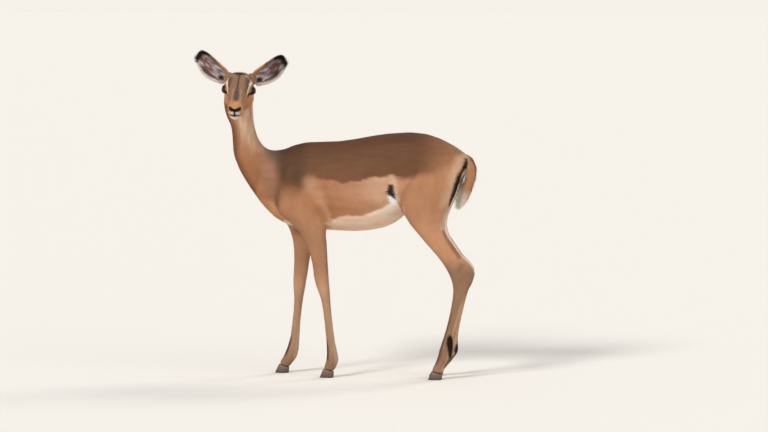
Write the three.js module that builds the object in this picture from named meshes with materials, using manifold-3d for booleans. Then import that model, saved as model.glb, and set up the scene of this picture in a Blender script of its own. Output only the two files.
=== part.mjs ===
// Impala ewe, life size: a still figure that stands on four legs with its head turned to its left.
// Millimetres, +Z up. The head end lies towards -X and the animal's left side towards -Y.
// Each part is a loft through hoops, and neighbours are cut apart by a thin gap.
import * as THREE from "three";
import { mergeVertices } from "three/addons/utils/BufferGeometryUtils.js";
import Module from "manifold-3d";

const wasm = await Module();
wasm.setup();

// ---- Driving dimensions ------------------------------------------------------------------------

const GAP = 0.3; // clearance between two pieces that meet
const NECK_BASE = [-308, 0, 720]; // on the plane where the neck parts from the trunk
const NECK_WAY = [-0.94, 0, 0.34]; // from that plane towards the head

const EYE_RADIUS = 16;
const MOUTH_LINE = [150, 0, -36]; // the front of the plane between the jaws, in the head's own frame
const MOUTH_WAY = [0.15, 0, -1]; // from that plane into the lower jaw
const JAW_HINGE = [-46, 0, 0]; // on the upright plane behind the lower jaw
const EYE_CENTRE = [3, 43, 1]; // ahead, aside and above, in the head's own frame
const HEAD_PLACE = [-384, -65, 1006]; // the point midway between the eyes
const HEAD_TURN = 96; // degrees from straight ahead, to the animal's left
const HEAD_DROP = 19.5; // degrees that the nose points down
const HEAD_LEAN = 3.3; // degrees that the right ear is carried above the left one

const EAR_BASE = [-48, 46, 17]; // in the head's own frame
const EAR_TIP = [-85, 155, 101];
const EAR_FACES = [0.88, 0.1, 0.45]; // the way that the open side looks
const EAR_HALF = [20, 26, 30, 32.5, 33, 31.5, 28, 20, 3]; // half its width, evenly spaced from base to tip
const EAR_BELLY = 11; // how far the middle line bows down from the straight line
const EAR_THICKNESS = 5.4; // with the hair on both sides

const HOOF_HALF = 9.2; // half the width of one claw at the ground
const CLEFT_HALF = 1.2; // half the slit between the two claws

const COLOURS = {
  coat: { color: 0xa9744c, roughness: 0.85, metalness: 0 },
  saddle: { color: 0x86583a, roughness: 0.85, metalness: 0 },
  pale: { color: 0xc9a585, roughness: 0.85, metalness: 0 },
  eye: { color: 0x120c0a, roughness: 0.12, metalness: 0 },
  hoof: { color: 0x3a332e, roughness: 0.6, metalness: 0 },
};

// ---- Hoops ---------------------------------------------------------------------------------------
// A hoop is a closed section across a part, symmetrical from side to side. It has a front and a back
// point in a plane of constant y, its side (the y of its middle) and half its width. widest is the share
// of the way from the front to the back at which it is widest, and a power above 2 squares a half off.

const hoop = (frontX, frontZ, backX, backZ, side, half, widest = 0.5, frontPower = 2, backPower = 2) => [
  frontX, frontZ, backX, backZ, side, half, widest, frontPower, backPower,
];

// The trunk runs from the chest to the rump, with the spine as the front of each hoop.
const TRUNK = [
  hoop(-283, 770, -300, 596, 0, 58, 0.5, 1.9, 2),
  hoop(-236, 794, -262, 548, 0, 80, 0.55, 1.8, 2),
  hoop(-182, 820, -196, 522, 0, 93, 0.56, 1.7, 2.1),
  hoop(-110, 825, -112, 514, 0, 103, 0.57, 1.7, 2.1),
  hoop(-36, 828, -38, 511, 0, 111, 0.58, 1.9, 2.15),
  hoop(36, 839, 34, 510, 0, 117, 0.58, 2.05, 2.15),
  hoop(104, 852, 100, 519, 0, 117, 0.56, 2.15, 2.15),
  hoop(164, 858, 152, 536, 0, 110, 0.52, 2.15, 2.1),
  hoop(216, 861, 200, 572, 0, 101, 0.46, 2.1, 2),
  hoop(284, 853, 258, 606, 0, 93, 0.44, 2, 2),
  hoop(343, 829, 312, 634, 0, 80, 0.44, 1.95, 2),
  hoop(388, 803, 352, 652, 0, 62, 0.44, 1.95, 2),
  hoop(414, 783, 384, 678, 0, 42, 0.46, 2, 2),
];

// The neck runs from the chest to the back of the skull, with the throat as the front.
const NECK = [
  hoop(-262, 556, -176, 812, 0, 78, 0.52),
  hoop(-303, 584, -236, 797, 0, 72, 0.52),
  hoop(-337, 628, -280, 792, 0, 62, 0.52),
  hoop(-372, 678, -306, 804, 0, 51, 0.5),
  hoop(-400, 726, -323, 824, 0, 43, 0.48),
  hoop(-416, 777, -334, 848, 0, 38.5, 0.47),
  hoop(-421, 836, -341, 873, 0, 36.5, 0.46),
  hoop(-425, 874, -345, 903, 0, 36.5, 0.46),
  hoop(-442, 911, -346, 936, -1, 38, 0.47),
  hoop(-450, 947, -347, 971, -3, 40, 0.48),
  hoop(-448, 988, -349, 1004, -7, 40, 0.5),
  hoop(-434, 1018, -354, 1030, -11, 35, 0.5),
];

// The head runs from the back of the skull to the nose in its own frame: x ahead, y to its left and
// z up from the line between the eyes. The forehead is the front of each hoop.
const HEAD = [
  hoop(-80, 22, -60, -46, 0, 36, 0.42, 2.2, 2),
  hoop(-64, 41, -48, -60, 0, 43, 0.42, 2.4, 2),
  hoop(-44, 51, -36, -68, 0, 46, 0.42, 2.5, 1.9),
  hoop(-20, 51, -20, -73, 0, 46, 0.4, 2.5, 1.9),
  hoop(6, 45.5, 0, -69, 0, 44, 0.38, 2.5, 1.9),
  hoop(30, 37, 24, -65, 0, 39.5, 0.4, 2.5, 1.9),
  hoop(54, 28.5, 50, -61, 0, 34, 0.42, 2.4, 2),
  hoop(79, 19.5, 77, -59, 0, 29.5, 0.44, 2.3, 2.1),
  hoop(102, 12, 102, -59, 0, 26.8, 0.46, 2.3, 2.2),
  hoop(122, 5.5, 122, -59.5, 0, 26, 0.46, 2.3, 2.2),
  hoop(137, -1, 134, -57, 0, 23.5, 0.44, 2.3, 2.2),
  hoop(146, -9, 140, -51, 0, 18.5, 0.42, 2.2, 2.2),
];

// The tail hangs from the root down behind the thighs, its front towards the body.
const TAIL = [
  hoop(398, 762, 410, 792, 0, 13),
  hoop(412, 752, 434, 776, -1, 15),
  hoop(420, 734, 449, 748, -3, 17),
  hoop(419, 708, 448, 716, -6, 19),
  hoop(410, 680, 440, 686, -9, 20),
  hoop(400, 652, 429, 656, -11, 19),
  hoop(391, 625, 416, 628, -12, 15),
  hoop(386, 606, 402, 607, -12, 8),
];

// Each leg runs down from inside the trunk to the top of the hoof. cuts holds the hoops where its
// segments part, and toe and heel are the ends of the hoof at the ground.
const STANDING_FORELEG = {
  hoops: [
    hoop(-250, 722, -146, 742, -49, 30, 0.5),
    hoop(-267, 680, -126, 702, -54, 36, 0.5),
    hoop(-266, 632, -108, 656, -58, 39, 0.5),
    hoop(-246, 584, -90, 608, -61, 38.5, 0.5),
    hoop(-206, 544, -78, 564, -62, 36, 0.5),
    hoop(-168, 508, -74, 524, -61, 31.5, 0.5),
    hoop(-145, 470, -72, 482, -60, 26.5, 0.48),
    hoop(-131, 428, -69, 436, -60, 22.5, 0.48),
    hoop(-123, 390, -67, 396, -60, 20, 0.5),
    hoop(-119, 355, -65, 359, -60, 19.4, 0.5, 2.2, 2.1),
    hoop(-112, 326, -63, 328, -60, 20.2, 0.5, 2.5, 2.2),
    hoop(-102, 301, -61, 301, -60, 18.8, 0.5, 2.4, 2.2),
    hoop(-92, 272, -59, 272, -60, 15.4, 0.48, 2.2, 2.2),
    hoop(-85, 232, -56, 230, -60, 13.8, 0.46, 2.2, 2.2),
    hoop(-79, 182, -50, 179, -60, 13.8, 0.46, 2.2, 2.2),
    hoop(-74, 130, -43, 126, -60, 15, 0.46, 2.2, 2.2),
    hoop(-72, 94, -34, 87, -60, 18, 0.46, 2.2, 2.2),
    hoop(-73, 67, -30, 60, -60, 19, 0.46, 2.2, 2.2),
    hoop(-78, 47, -39, 37, -60, 17.6, 0.46, 2.2, 2.2),
    hoop(-84, 32, -49, 22, -60, 18.6, 0.46, 2.3, 2.2),
  ],
  cuts: [6, 10, 16],
  toe: -97,
  heel: -50,
};

const FORWARD_FORELEG = {
  hoops: [
    hoop(-255, 722, -152, 742, -49, 30, 0.5),
    hoop(-277, 680, -137, 702, -54, 36, 0.5),
    hoop(-284, 632, -126, 656, -58, 39, 0.5),
    hoop(-276, 584, -120, 606, -61, 38.5, 0.5),
    hoop(-250, 544, -122, 562, -62, 36, 0.5),
    hoop(-229, 508, -130, 522, -61, 31.5, 0.5),
    hoop(-217, 469, -141, 480, -60, 26.5, 0.48),
    hoop(-213, 427, -150, 434, -60, 22.5, 0.48),
    hoop(-213, 388, -157, 392, -60, 20, 0.5),
    hoop(-215, 352, -163, 354, -60, 19.4, 0.5, 2.2, 2.1),
    hoop(-216, 322, -169, 322, -60, 20.2, 0.5, 2.5, 2.2),
    hoop(-214, 296, -174, 294, -60, 18.8, 0.5, 2.4, 2.2),
    hoop(-212, 266, -180, 264, -60, 15.4, 0.48, 2.2, 2.2),
    hoop(-214, 228, -185, 226, -60, 13.8, 0.46, 2.2, 2.2),
    hoop(-219, 180, -190, 177, -60, 13.8, 0.46, 2.2, 2.2),
    hoop(-226, 128, -193, 123, -60, 15, 0.46, 2.2, 2.2),
    hoop(-236, 94, -196, 82, -60, 18, 0.46, 2.2, 2.2),
    hoop(-246, 68, -203, 55, -60, 19, 0.46, 2.2, 2.2),
    hoop(-257, 48, -220, 34, -60, 17.6, 0.46, 2.2, 2.2),
    hoop(-266, 33, -232, 20, -60, 18.6, 0.46, 2.3, 2.2),
  ],
  cuts: [6, 10, 16],
  toe: -281,
  heel: -234,
};

const HINDLEG = {
  hoops: [
    hoop(206, 772, 404, 776, -44, 38, 0.42),
    hoop(186, 728, 410, 742, -50, 48, 0.44),
    hoop(178, 680, 402, 698, -55, 52, 0.46),
    hoop(180, 630, 385, 648, -59, 50.5, 0.47),
    hoop(196, 583, 364, 600, -62, 45.5, 0.48),
    hoop(224, 540, 350, 560, -64, 39, 0.48),
    hoop(256, 504, 349, 529, -65, 32.5, 0.46),
    hoop(286, 469, 357, 502, -65, 27.5, 0.42),
    hoop(314, 438, 379, 473, -64, 23, 0.38),
    hoop(340, 405, 410, 432, -63, 20, 0.32, 2, 1.7),
    hoop(360, 372, 443, 404, -62, 19, 0.28, 2.1, 1.6),
    hoop(372, 341, 456, 380, -62, 19.8, 0.3, 2.2, 1.8),
    hoop(376, 314, 447, 346, -62, 19.8, 0.36, 2.3, 1.9),
    hoop(374, 288, 428, 312, -62, 18.6, 0.42, 2.3, 2),
    hoop(369, 256, 411, 270, -62, 16.2, 0.46, 2.2, 2.2),
    hoop(360, 214, 397, 223, -62, 14.8, 0.46, 2.2, 2.2),
    hoop(350, 174, 386, 182, -62, 14.8, 0.46, 2.2, 2.2),
    hoop(338, 136, 376, 143, -62, 16.4, 0.46, 2.2, 2.2),
    hoop(327, 103, 372, 108, -62, 19, 0.46, 2.2, 2.2),
    hoop(321, 78, 370, 80, -62, 19.6, 0.46, 2.2, 2.2),
    hoop(313, 58, 354, 52, -62, 18, 0.46, 2.2, 2.2),
    hoop(305, 42, 342, 30, -63, 18.2, 0.46, 2.2, 2.2),
    hoop(301, 31, 337, 19, -64, 18.8, 0.46, 2.3, 2.2),
  ],
  cuts: [5, 11, 20],
  toe: 288,
  heel: 335,
  tuft: [364, -62, 117, 12, 15, 29], // centre and radii of the black gland tuft above the fetlock
};

const RIGHT_TUFT = [363, -62, 100, 12, 15, 25]; // given for the left side, as the legs are
// How far the right hind leg lies behind the left one, at heights from the ground up.
const RIGHT_HIND_STEP = [
  [0, -18], [20, -16], [36, -7], [60, -2], [90, 0], [130, -1],
  [200, -7], [250, -8], [380, -21], [500, -16], [770, 0],
];

// ---- Lofts ---------------------------------------------------------------------------------------

/** A Catmull-Rom curve through four numbers, between the middle two. */
function catmullRom(a, b, c, d, t) {
  return 0.5 * (2 * b + (c - a) * t + (2 * a - 5 * b + 4 * c - d) * t * t + (3 * b - a - 3 * c + d) * t ** 3);
}

/** The hoop at a place counted in hoops, such as 2.5 for halfway from the third to the fourth. */
function hoopAt(hoops, place) {
  const last = hoops.length - 1;
  const from = Math.min(Math.floor(place), last - 1);
  const [a, b, c, d] = [-1, 0, 1, 2].map((k) => hoops[THREE.MathUtils.clamp(from + k, 0, last)]);
  return b.map((value, i) => catmullRom(a[i], value, c[i], d[i], place - from));
}

/** The middle of a hoop, at its widest. */
function middle([frontX, frontZ, backX, backZ, side, , widest]) {
  const { lerp } = THREE.MathUtils;
  return new THREE.Vector3(lerp(frontX, backX, widest), side, lerp(frontZ, backZ, widest));
}

/** Points round a hoop that is scaled about its middle, and grown outwards all round. */
function pointsRound(section, sides, grow, scale) {
  const [frontX, frontZ, backX, backZ, , half, widest, frontPower, backPower] = section;
  const depth = Math.hypot(frontX - backX, frontZ - backZ);
  const forwards = new THREE.Vector3((frontX - backX) / depth, 0, (frontZ - backZ) / depth);
  return Array.from({ length: sides }, (_, i) => {
    const angle = (i / sides) * 2 * Math.PI;
    const [along, across] = [Math.cos(angle), Math.sin(angle)];
    const power = 2 / (along > 0 ? frontPower : backPower);
    const reach = (along > 0 ? depth * widest : depth * (1 - widest)) + grow;
    return middle(section)
      .addScaledVector(forwards, Math.sign(along) * Math.abs(along) ** power * reach * scale)
      .add(new THREE.Vector3(0, Math.sign(across) * Math.abs(across) ** power * (half + grow) * scale, 0));
  });
}

/**
 * A closed skin over rings of points, with a point at each end.
 * @param {THREE.Vector3[][]} rings rings with the same number of points
 * @param {THREE.Vector3} start where the first ring closes
 * @param {THREE.Vector3} end where the last ring closes
 */
function skinOver(rings, start, end) {
  const sides = rings[0].length;
  const points = [...rings.flat(), start, end];
  const faces = [];
  for (let r = 0; r < rings.length - 1; r++) {
    for (let i = 0; i < sides; i++) {
      const [a, b] = [r * sides + i, r * sides + ((i + 1) % sides)];
      faces.push(a, b, a + sides, b, b + sides, a + sides);
    }
  }
  const lastRing = (rings.length - 1) * sides;
  for (let i = 0; i < sides; i++) {
    const next = (i + 1) % sides;
    faces.push(points.length - 2, next, i, points.length - 1, lastRing + i, lastRing + next);
  }
  const geometry = new THREE.BufferGeometry().setFromPoints(points);
  return geometry.setIndex(faces);
}

/**
 * A loft through hoops. An end is flat, or a dome of the given length, and pull draws both flat ends in.
 */
function loft(hoops, { from = 0, to = hoops.length - 1, steps = 2, sides = 24, grow = 0, ...ends } = {}) {
  const { startDome = 0, endDome = 0, startPull = 0, endPull = 0 } = ends;
  const count = Math.round((to - from) * steps);
  const places = Array.from({ length: count + 1 }, (_, i) => THREE.MathUtils.lerp(from, to, i / count));
  const sections = places.map((place) => hoopAt(hoops, place));
  const outwards = (end, inner) => middle(end).sub(middle(inner)).normalize();
  const startWay = outwards(sections[0], sections[1]);
  const endWay = outwards(sections[count], sections[count - 1]);
  const domeSteps = 2;
  const dome = (section, way, length) =>
    Array.from({ length: length > 0 ? domeSteps : 0 }, (_, k) => {
      const angle = ((k + 1) / (domeSteps + 0.6)) * (Math.PI / 2);
      return pointsRound(section, sides, grow, Math.cos(angle)).map((p) =>
        p.addScaledVector(way, (length + grow) * Math.sin(angle)),
      );
    });
  const rings = sections.map((section) => pointsRound(section, sides, grow, 1));
  rings[0].forEach((p) => p.addScaledVector(startWay, startDome ? 0 : grow - startPull));
  rings[count].forEach((p) => p.addScaledVector(endWay, endDome ? 0 : grow - endPull));
  const startReach = startDome ? startDome + grow : grow - startPull;
  const endReach = endDome ? endDome + grow : grow - endPull;
  const all = [
    ...dome(sections[0], startWay, startDome).reverse(),
    ...rings,
    ...dome(sections[count], endWay, endDome),
  ];
  const [frontX, frontZ, backX, backZ] = sections[0];
  const runsBackwards = (backZ - frontZ) * startWay.x - (backX - frontX) * startWay.z > 0;
  if (runsBackwards) {
    all.forEach((ring) => ring.reverse());
  }
  return skinOver(
    all,
    middle(sections[0]).addScaledVector(startWay, startReach),
    middle(sections[count]).addScaledVector(endWay, endReach),
  );
}

/** An ellipsoid of the given radii, turned about the upright axis. */
function ellipsoid(centre, radii, turn = 0, segments = 12) {
  return new THREE.SphereGeometry(1, segments, Math.round(segments * 0.6))
    .rotateX(Math.PI / 2)
    .scale(...radii)
    .rotateZ(turn)
    .translate(...centre);
}

// ---- Solids ----------------------------------------------------------------------------------------

/** A closed geometry as a solid that can be joined and cut. */
function solid(geometry) {
  const bare = geometry.clone();
  bare.deleteAttribute("normal");
  bare.deleteAttribute("uv");
  const merged = mergeVertices(bare, 1e-3);
  return new wasm.Manifold(
    new wasm.Mesh({
      numProp: 3,
      vertProperties: merged.attributes.position.array,
      triVerts: new Uint32Array(merged.index.array),
    }),
  );
}

/** A solid as a geometry, for a mesh. */
function geometryOf(piece) {
  const { numProp, vertProperties, triVerts } = piece.getMesh();
  const positions = new Float32Array((vertProperties.length / numProp) * 3);
  for (let i = 0; i < positions.length / 3; i++) {
    positions.set(vertProperties.subarray(i * numProp, i * numProp + 3), i * 3);
  }
  const geometry = new THREE.BufferGeometry();
  geometry.setAttribute("position", new THREE.BufferAttribute(positions, 3));
  geometry.setIndex(new THREE.BufferAttribute(new Uint32Array(triVerts), 1));
  geometry.computeVertexNormals();
  return geometry;
}

/** A point moved along a direction. */
const moved = (point, way, distance) => point.map((value, i) => value + way[i] * distance);

/** A large block that fills the space on one side of a plane. */
function block(point, facing) {
  const size = 2000;
  const turn = new THREE.Quaternion().setFromUnitVectors(
    new THREE.Vector3(0, 0, 1),
    new THREE.Vector3(...facing).normalize(),
  );
  return solid(
    new THREE.BoxGeometry(size, size, size)
      .translate(0, 0, size / 2)
      .applyQuaternion(turn)
      .translate(...point),
  );
}

/** A named mesh of a solid or a geometry. */
function part(name, shape, finish) {
  const geometry = shape.isBufferGeometry ? shape : geometryOf(shape);
  const mesh = new THREE.Mesh(geometry, new THREE.MeshStandardMaterial(COLOURS[finish]));
  mesh.name = name;
  return mesh;
}

// ---- Head ------------------------------------------------------------------------------------------

const headGroup = new THREE.Group();
headGroup.position.set(...HEAD_PLACE);
{
  const radians = THREE.MathUtils.degToRad;
  const turned = new THREE.Matrix4().makeRotationZ(Math.PI + radians(HEAD_TURN));
  const dropped = new THREE.Matrix4().makeRotationY(radians(HEAD_DROP));
  const leaned = new THREE.Matrix4().makeRotationX(-radians(HEAD_LEAN));
  headGroup.quaternion.setFromRotationMatrix(turned.multiply(dropped).multiply(leaned));
}
headGroup.updateMatrixWorld(true);

/** A point given for the left side, moved to the side asked for: 1 is left and -1 right. */
const onSide = ([x, y, z], side) => [x, y * side, z];

/** The whole head in its own frame, grown outwards by the given amount. */
function headSolid(grow) {
  const grown = (radii) => radii.map((r) => r + grow);
  let head = solid(loft(HEAD, { steps: 1, sides: 18, grow, startDome: 14, endDome: 4 }));
  for (const side of [1, -1]) {
    const orbit = ellipsoid(onSide([0, 34, 4], side), grown([31, 21.5, 24]), -0.16 * side);
    const cheek = ellipsoid(onSide([-18, 27, -36], side), grown([44, 25, 36]));
    const earRoot = ellipsoid(onSide([-50, 38, 20], side), grown([19, 20, 24]), 0, 10);
    head = head.add(solid(orbit)).add(solid(cheek)).add(solid(earRoot));
  }
  return head;
}

/** Half the width of the ear at a share of its length. */
function earHalf(share) {
  const [half] = hoopAt(EAR_HALF.map((value) => [value]), share * (EAR_HALF.length - 1));
  return half;
}

/** One ear as a cupped leaf of even thickness, in the head's frame. */
function ear(side, grow = 0) {
  const base = new THREE.Vector3(...onSide(EAR_BASE, side));
  const tip = new THREE.Vector3(...onSide(EAR_TIP, side));
  const axis = tip.clone().sub(base).normalize();
  const face = new THREE.Vector3(...onSide(EAR_FACES, side));
  face.addScaledVector(axis, -face.dot(axis)).normalize();
  const across = new THREE.Vector3().crossVectors(axis, face).multiplyScalar(side);
  const lengthSteps = 10;
  const widthSteps = 5;
  const point = (share, v, depth) => {
    const half = earHalf(share) + grow;
    const cup = 17 * (1 - share) ** 1.2 + 7 * Math.sin(Math.PI * share);
    return base
      .clone()
      .lerp(tip, share)
      .addScaledVector(across, v * half + EAR_BELLY * Math.sin(Math.PI * share) ** 1.2)
      .addScaledVector(face, cup * (v * v - 0.5) - depth);
  };
  const rings = [];
  for (let i = 0; i <= lengthSteps; i++) {
    const share = i / lengthSteps;
    const thick = EAR_THICKNESS * (1 - 0.3 * share) + 9 * (1 - share) ** 6;
    const ring = [];
    for (let k = 0; k <= widthSteps; k++) {
      ring.push(point(share, (2 * k) / widthSteps - 1, -grow));
    }
    for (let k = widthSteps; k >= 0; k--) {
      ring.push(point(share, (2 * k) / widthSteps - 1, thick + grow));
    }
    rings.push(side > 0 ? ring : ring.reverse());
  }
  const centreOf = (ring) =>
    ring.reduce((sum, p) => sum.add(p), new THREE.Vector3()).divideScalar(ring.length);
  return skinOver(rings, centreOf(rings[0]), centreOf(rings[lengthSteps]));
}

/** The head, lower jaw, eyes and ears, in the head's frame. */
function addHead() {
  let head = headSolid(0);
  for (const [side, name] of [[1, "left"], [-1, "right"]]) {
    const centre = onSide(EYE_CENTRE, side);
    headGroup.add(part(`eye_${name}`, ellipsoid(centre, [EYE_RADIUS, EYE_RADIUS, EYE_RADIUS]), "eye"));
    const socket = EYE_RADIUS + GAP;
    head = head.subtract(solid(ellipsoid(centre, [socket, socket, socket])));
  }
  const ears = headSolid(GAP);
  headGroup.add(part("ear_left", solid(ear(1)).subtract(ears), "coat"));
  headGroup.add(part("ear_right", solid(ear(-1)).subtract(ears), "coat"));
  const ahead = [1, 0, 0];
  const belowMouth = (grow) => {
    const aheadOfHinge = block(moved(JAW_HINGE, ahead, -grow), ahead);
    return block(moved(MOUTH_LINE, MOUTH_WAY, -grow), MOUTH_WAY).intersect(aheadOfHinge);
  };
  headGroup.add(part("lower_jaw", head.intersect(belowMouth(0)), "pale"));
  headGroup.add(part("head", head.subtract(belowMouth(GAP)), "coat"));
}

// ---- Legs ------------------------------------------------------------------------------------------

/** How far a leg is moved back at a height, by a table of heights and moves. */
function stepAt(steps, z) {
  const above = steps.findIndex(([height]) => height >= z);
  if (above < 1) {
    return steps[above < 0 ? steps.length - 1 : 0][1];
  }
  const [[low, from], [high, to]] = [steps[above - 1], steps[above]];
  return THREE.MathUtils.mapLinear(z, low, high, from, to);
}

/** Hoops of a left leg, stepped back by a table and moved to a side: 1 is left and -1 right. */
function placed(hoops, side, steps) {
  return hoops.map(([frontX, frontZ, backX, backZ, across, ...rest]) => [
    frontX + stepAt(steps, frontZ), frontZ, backX + stepAt(steps, backZ), backZ, across * side, ...rest,
  ]);
}

/** One claw of a hoof: flat on the ground, blunt at the heel and narrow at the toe. */
function claw(coronet, toe, heel, inwards) {
  const [frontX, frontZ, backX, backZ, side] = coronet;
  const across = side + inwards * (HOOF_HALF + CLEFT_HALF);
  return loft(
    [
      hoop(frontX, frontZ - GAP, backX, backZ - GAP, across, HOOF_HALF - 1.4, 0.56, 2.1, 2.4),
      hoop(
        THREE.MathUtils.lerp(frontX, toe, 0.55), frontZ * 0.46,
        THREE.MathUtils.lerp(backX, heel, 0.6), backZ * 0.4,
        across, HOOF_HALF - 0.3, 0.6, 1.9, 2.5,
      ),
      hoop(toe, 0, heel, 0, across, HOOF_HALF, 0.64, 1.75, 2.6),
    ],
    { steps: 1.5, sides: 12 },
  );
}

/** The segments and claws of one leg. Returns the grown top segment, which the trunk makes room for. */
function addLeg(group, name, segments, { hoops, cuts, toe, heel, tuft }, side, steps = [[0, 0]]) {
  const leg = placed(hoops, side, steps);
  const bounds = [0, ...cuts, leg.length - 1];
  segments.forEach((segment, i) => {
    const lastSegment = i === segments.length - 1;
    const shape = loft(leg, {
      from: bounds[i],
      to: bounds[i + 1],
      steps: 1,
      sides: i === 0 ? 14 : 12,
      startDome: i === 0 ? 26 : 0,
      startPull: i === 0 ? 0 : GAP / 2,
      endPull: lastSegment ? 0 : GAP / 2,
    });
    const tufted = () => solid(shape).add(solid(ellipsoid(onSide(tuft, side), tuft.slice(3), 0, 8)));
    group.add(part(`${name}_${segment}`, tuft && segment === "cannon" ? tufted() : shape, "coat"));
  });
  const coronet = leg[leg.length - 1];
  const step = stepAt(steps, 0);
  for (const [inwards, which] of [[side, "inner"], [-side, "outer"]]) {
    const shape = claw(coronet, toe + step, heel + step, inwards);
    group.add(part(`${name}_${which}_claw`, shape, "hoof"));
  }
  return solid(loft(leg, { from: 0, to: cuts[0], steps: 1, sides: 14, grow: GAP, startDome: 26 }));
}

// ---- Whole animal ------------------------------------------------------------------------------------

const impala = new THREE.Group();
const figure = new THREE.Group(); // has the ground at z = 0 and the middle of the body at y = 0
impala.add(figure);
figure.add(headGroup);

addHead();

const trunkSolid = (grow) => solid(loft(TRUNK, { steps: 1.25, sides: 20, grow, startDome: 26, endDome: 16 }));
const neckSolid = solid(loft(NECK, { steps: 1.5, sides: 16, endDome: 8 }));
const body = trunkSolid(0).add(neckSolid);

const foreSegments = ["arm", "forearm", "cannon", "pastern"];
const hindSegments = ["thigh", "shank", "cannon", "pastern"];
const rooms = [
  addLeg(figure, "foreleg_left", foreSegments, STANDING_FORELEG, 1),
  addLeg(figure, "foreleg_right", foreSegments, FORWARD_FORELEG, -1),
  addLeg(figure, "hindleg_left", hindSegments, HINDLEG, 1),
  addLeg(figure, "hindleg_right", hindSegments, { ...HINDLEG, tuft: RIGHT_TUFT }, -1, RIGHT_HIND_STEP),
];

// The neck parts from the trunk on a plane. It makes room for the head, the ears and the tops of
// the forelegs.
const foreRooms = rooms.slice(0, 2);
const hindRooms = rooms.slice(2);
const lessAll = (piece, taken) => taken.reduce((rest, room) => rest.subtract(room), piece);
const headRoom = headSolid(GAP).add(solid(ear(1, GAP))).add(solid(ear(-1, GAP)));
const headInFigure = headRoom.transform(headGroup.matrixWorld.elements);
const neckSide = block(NECK_BASE, NECK_WAY);
const trunkSide = block(moved(NECK_BASE, NECK_WAY, -GAP), NECK_WAY.map((value) => -value));
figure.add(part("neck", lessAll(body.intersect(neckSide), [headInFigure, ...foreRooms]), "coat"));
figure.add(part("trunk", lessAll(body.intersect(trunkSide), rooms), "saddle"));

const tail = solid(loft(TAIL, { steps: 1, sides: 10, endDome: 6 }));
figure.add(part("tail", lessAll(tail, [trunkSolid(GAP), ...hindRooms]), "pale"));

// The origin lies on the ground, below the middle of the bounding box.
const measureEveryVertex = true; // the head's group is turned, so boxes of boxes would be too large
const box = new THREE.Box3().setFromObject(impala, measureEveryVertex);
const centre = box.getCenter(new THREE.Vector3());
figure.position.set(-centre.x, -centre.y, -box.min.z);

export default impala;
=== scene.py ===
"""A life-size impala ewe: one skin, a coat of hair tufts, eyes and hooves, in a plain studio.

Meshes are in metres in the frame's own axes. The animal's features are placed in millimetres in two frames
of its own: the body's, with the ground at z = 0, the spine at y = 0 and the head end towards -x, and the
head's, with x ahead, y to the animal's left and z up from a point midway between the eyes.
"""

import logging
import math
from dataclasses import dataclass, field
from enum import Enum
from typing import Iterable

import bpy
import numpy as np
from mathutils import Matrix, Vector
from mathutils.bvhtree import BVHTree


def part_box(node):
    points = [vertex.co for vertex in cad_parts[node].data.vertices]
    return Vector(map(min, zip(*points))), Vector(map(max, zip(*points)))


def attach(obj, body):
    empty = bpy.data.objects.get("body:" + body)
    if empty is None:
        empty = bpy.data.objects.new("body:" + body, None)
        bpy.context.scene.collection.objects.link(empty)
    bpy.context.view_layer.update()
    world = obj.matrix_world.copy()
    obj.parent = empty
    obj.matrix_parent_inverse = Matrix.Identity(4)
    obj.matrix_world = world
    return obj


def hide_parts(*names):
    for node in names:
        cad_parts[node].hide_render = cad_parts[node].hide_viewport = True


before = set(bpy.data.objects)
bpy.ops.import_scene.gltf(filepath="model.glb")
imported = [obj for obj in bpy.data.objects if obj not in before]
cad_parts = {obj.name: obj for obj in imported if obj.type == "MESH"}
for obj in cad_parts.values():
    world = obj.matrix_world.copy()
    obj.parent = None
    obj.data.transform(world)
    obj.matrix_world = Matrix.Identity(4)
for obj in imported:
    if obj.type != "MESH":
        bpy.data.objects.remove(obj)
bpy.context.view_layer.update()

LOG = logging.getLogger("impala")
MM = 0.001
SIDES = ("left", "right")
FORE_SEGMENTS = ("arm", "forearm", "cannon", "pastern")
HIND_SEGMENTS = ("thigh", "shank", "cannon", "pastern")
LEGS = [(f"foreleg_{side}", FORE_SEGMENTS) for side in SIDES] + [
    (f"hindleg_{side}", HIND_SEGMENTS) for side in SIDES
]
EARS = ((1, "ear_left"), (-1, "ear_right"))
HEAD_FLESH = ["head", "lower_jaw", "ear_left", "ear_right"]
LEG_FLESH = [f"{leg}_{segment}" for leg, segments in LEGS for segment in segments]
FLESH = [*HEAD_FLESH, "neck", "trunk", "tail", *LEG_FLESH]
CLAWS = [f"{leg}_{which}_claw" for leg, _ in LEGS for which in ("inner", "outer")]


# ---- Numbers and fields ----------------------------------------------------------------------------


def unit(vectors: np.ndarray) -> np.ndarray:
    """Vectors, or one vector, at a length of 1."""
    return vectors / np.maximum(np.linalg.norm(vectors, axis=-1, keepdims=True), 1e-9)


def ramp(values: np.ndarray, start: float, end: float) -> np.ndarray:
    """A smooth step from 0 at start to 1 at end, which may be the lower of the two."""
    share = np.clip((values - start) / (end - start), 0.0, 1.0)
    return share * share * (3.0 - 2.0 * share)


def bell(values: np.ndarray, middle: float, half: float) -> np.ndarray:
    """1 at the middle, falling softly to almost nothing at twice the half width."""
    return np.exp(-(((values - middle) / half) ** 2))


def ripple(points: np.ndarray, size: float, seed: int) -> np.ndarray:
    """A soft random field between about -1 and 1, with patches of the given size.

    Args:
        points: where it is read.
        size: how wide a patch is, in the points' own units.
        seed: which field it is.

    Returns:
        A value for each point.
    """
    rng = np.random.default_rng(seed)
    total = np.zeros(len(points))
    waves = 9
    for _ in range(waves):
        way = unit(rng.normal(size=3)) * rng.uniform(0.6, 1.7) * math.tau / (2.4 * size)
        total += np.sin(points @ way + rng.uniform(0, math.tau))
    return total / math.sqrt(waves / 2) / 1.6


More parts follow.
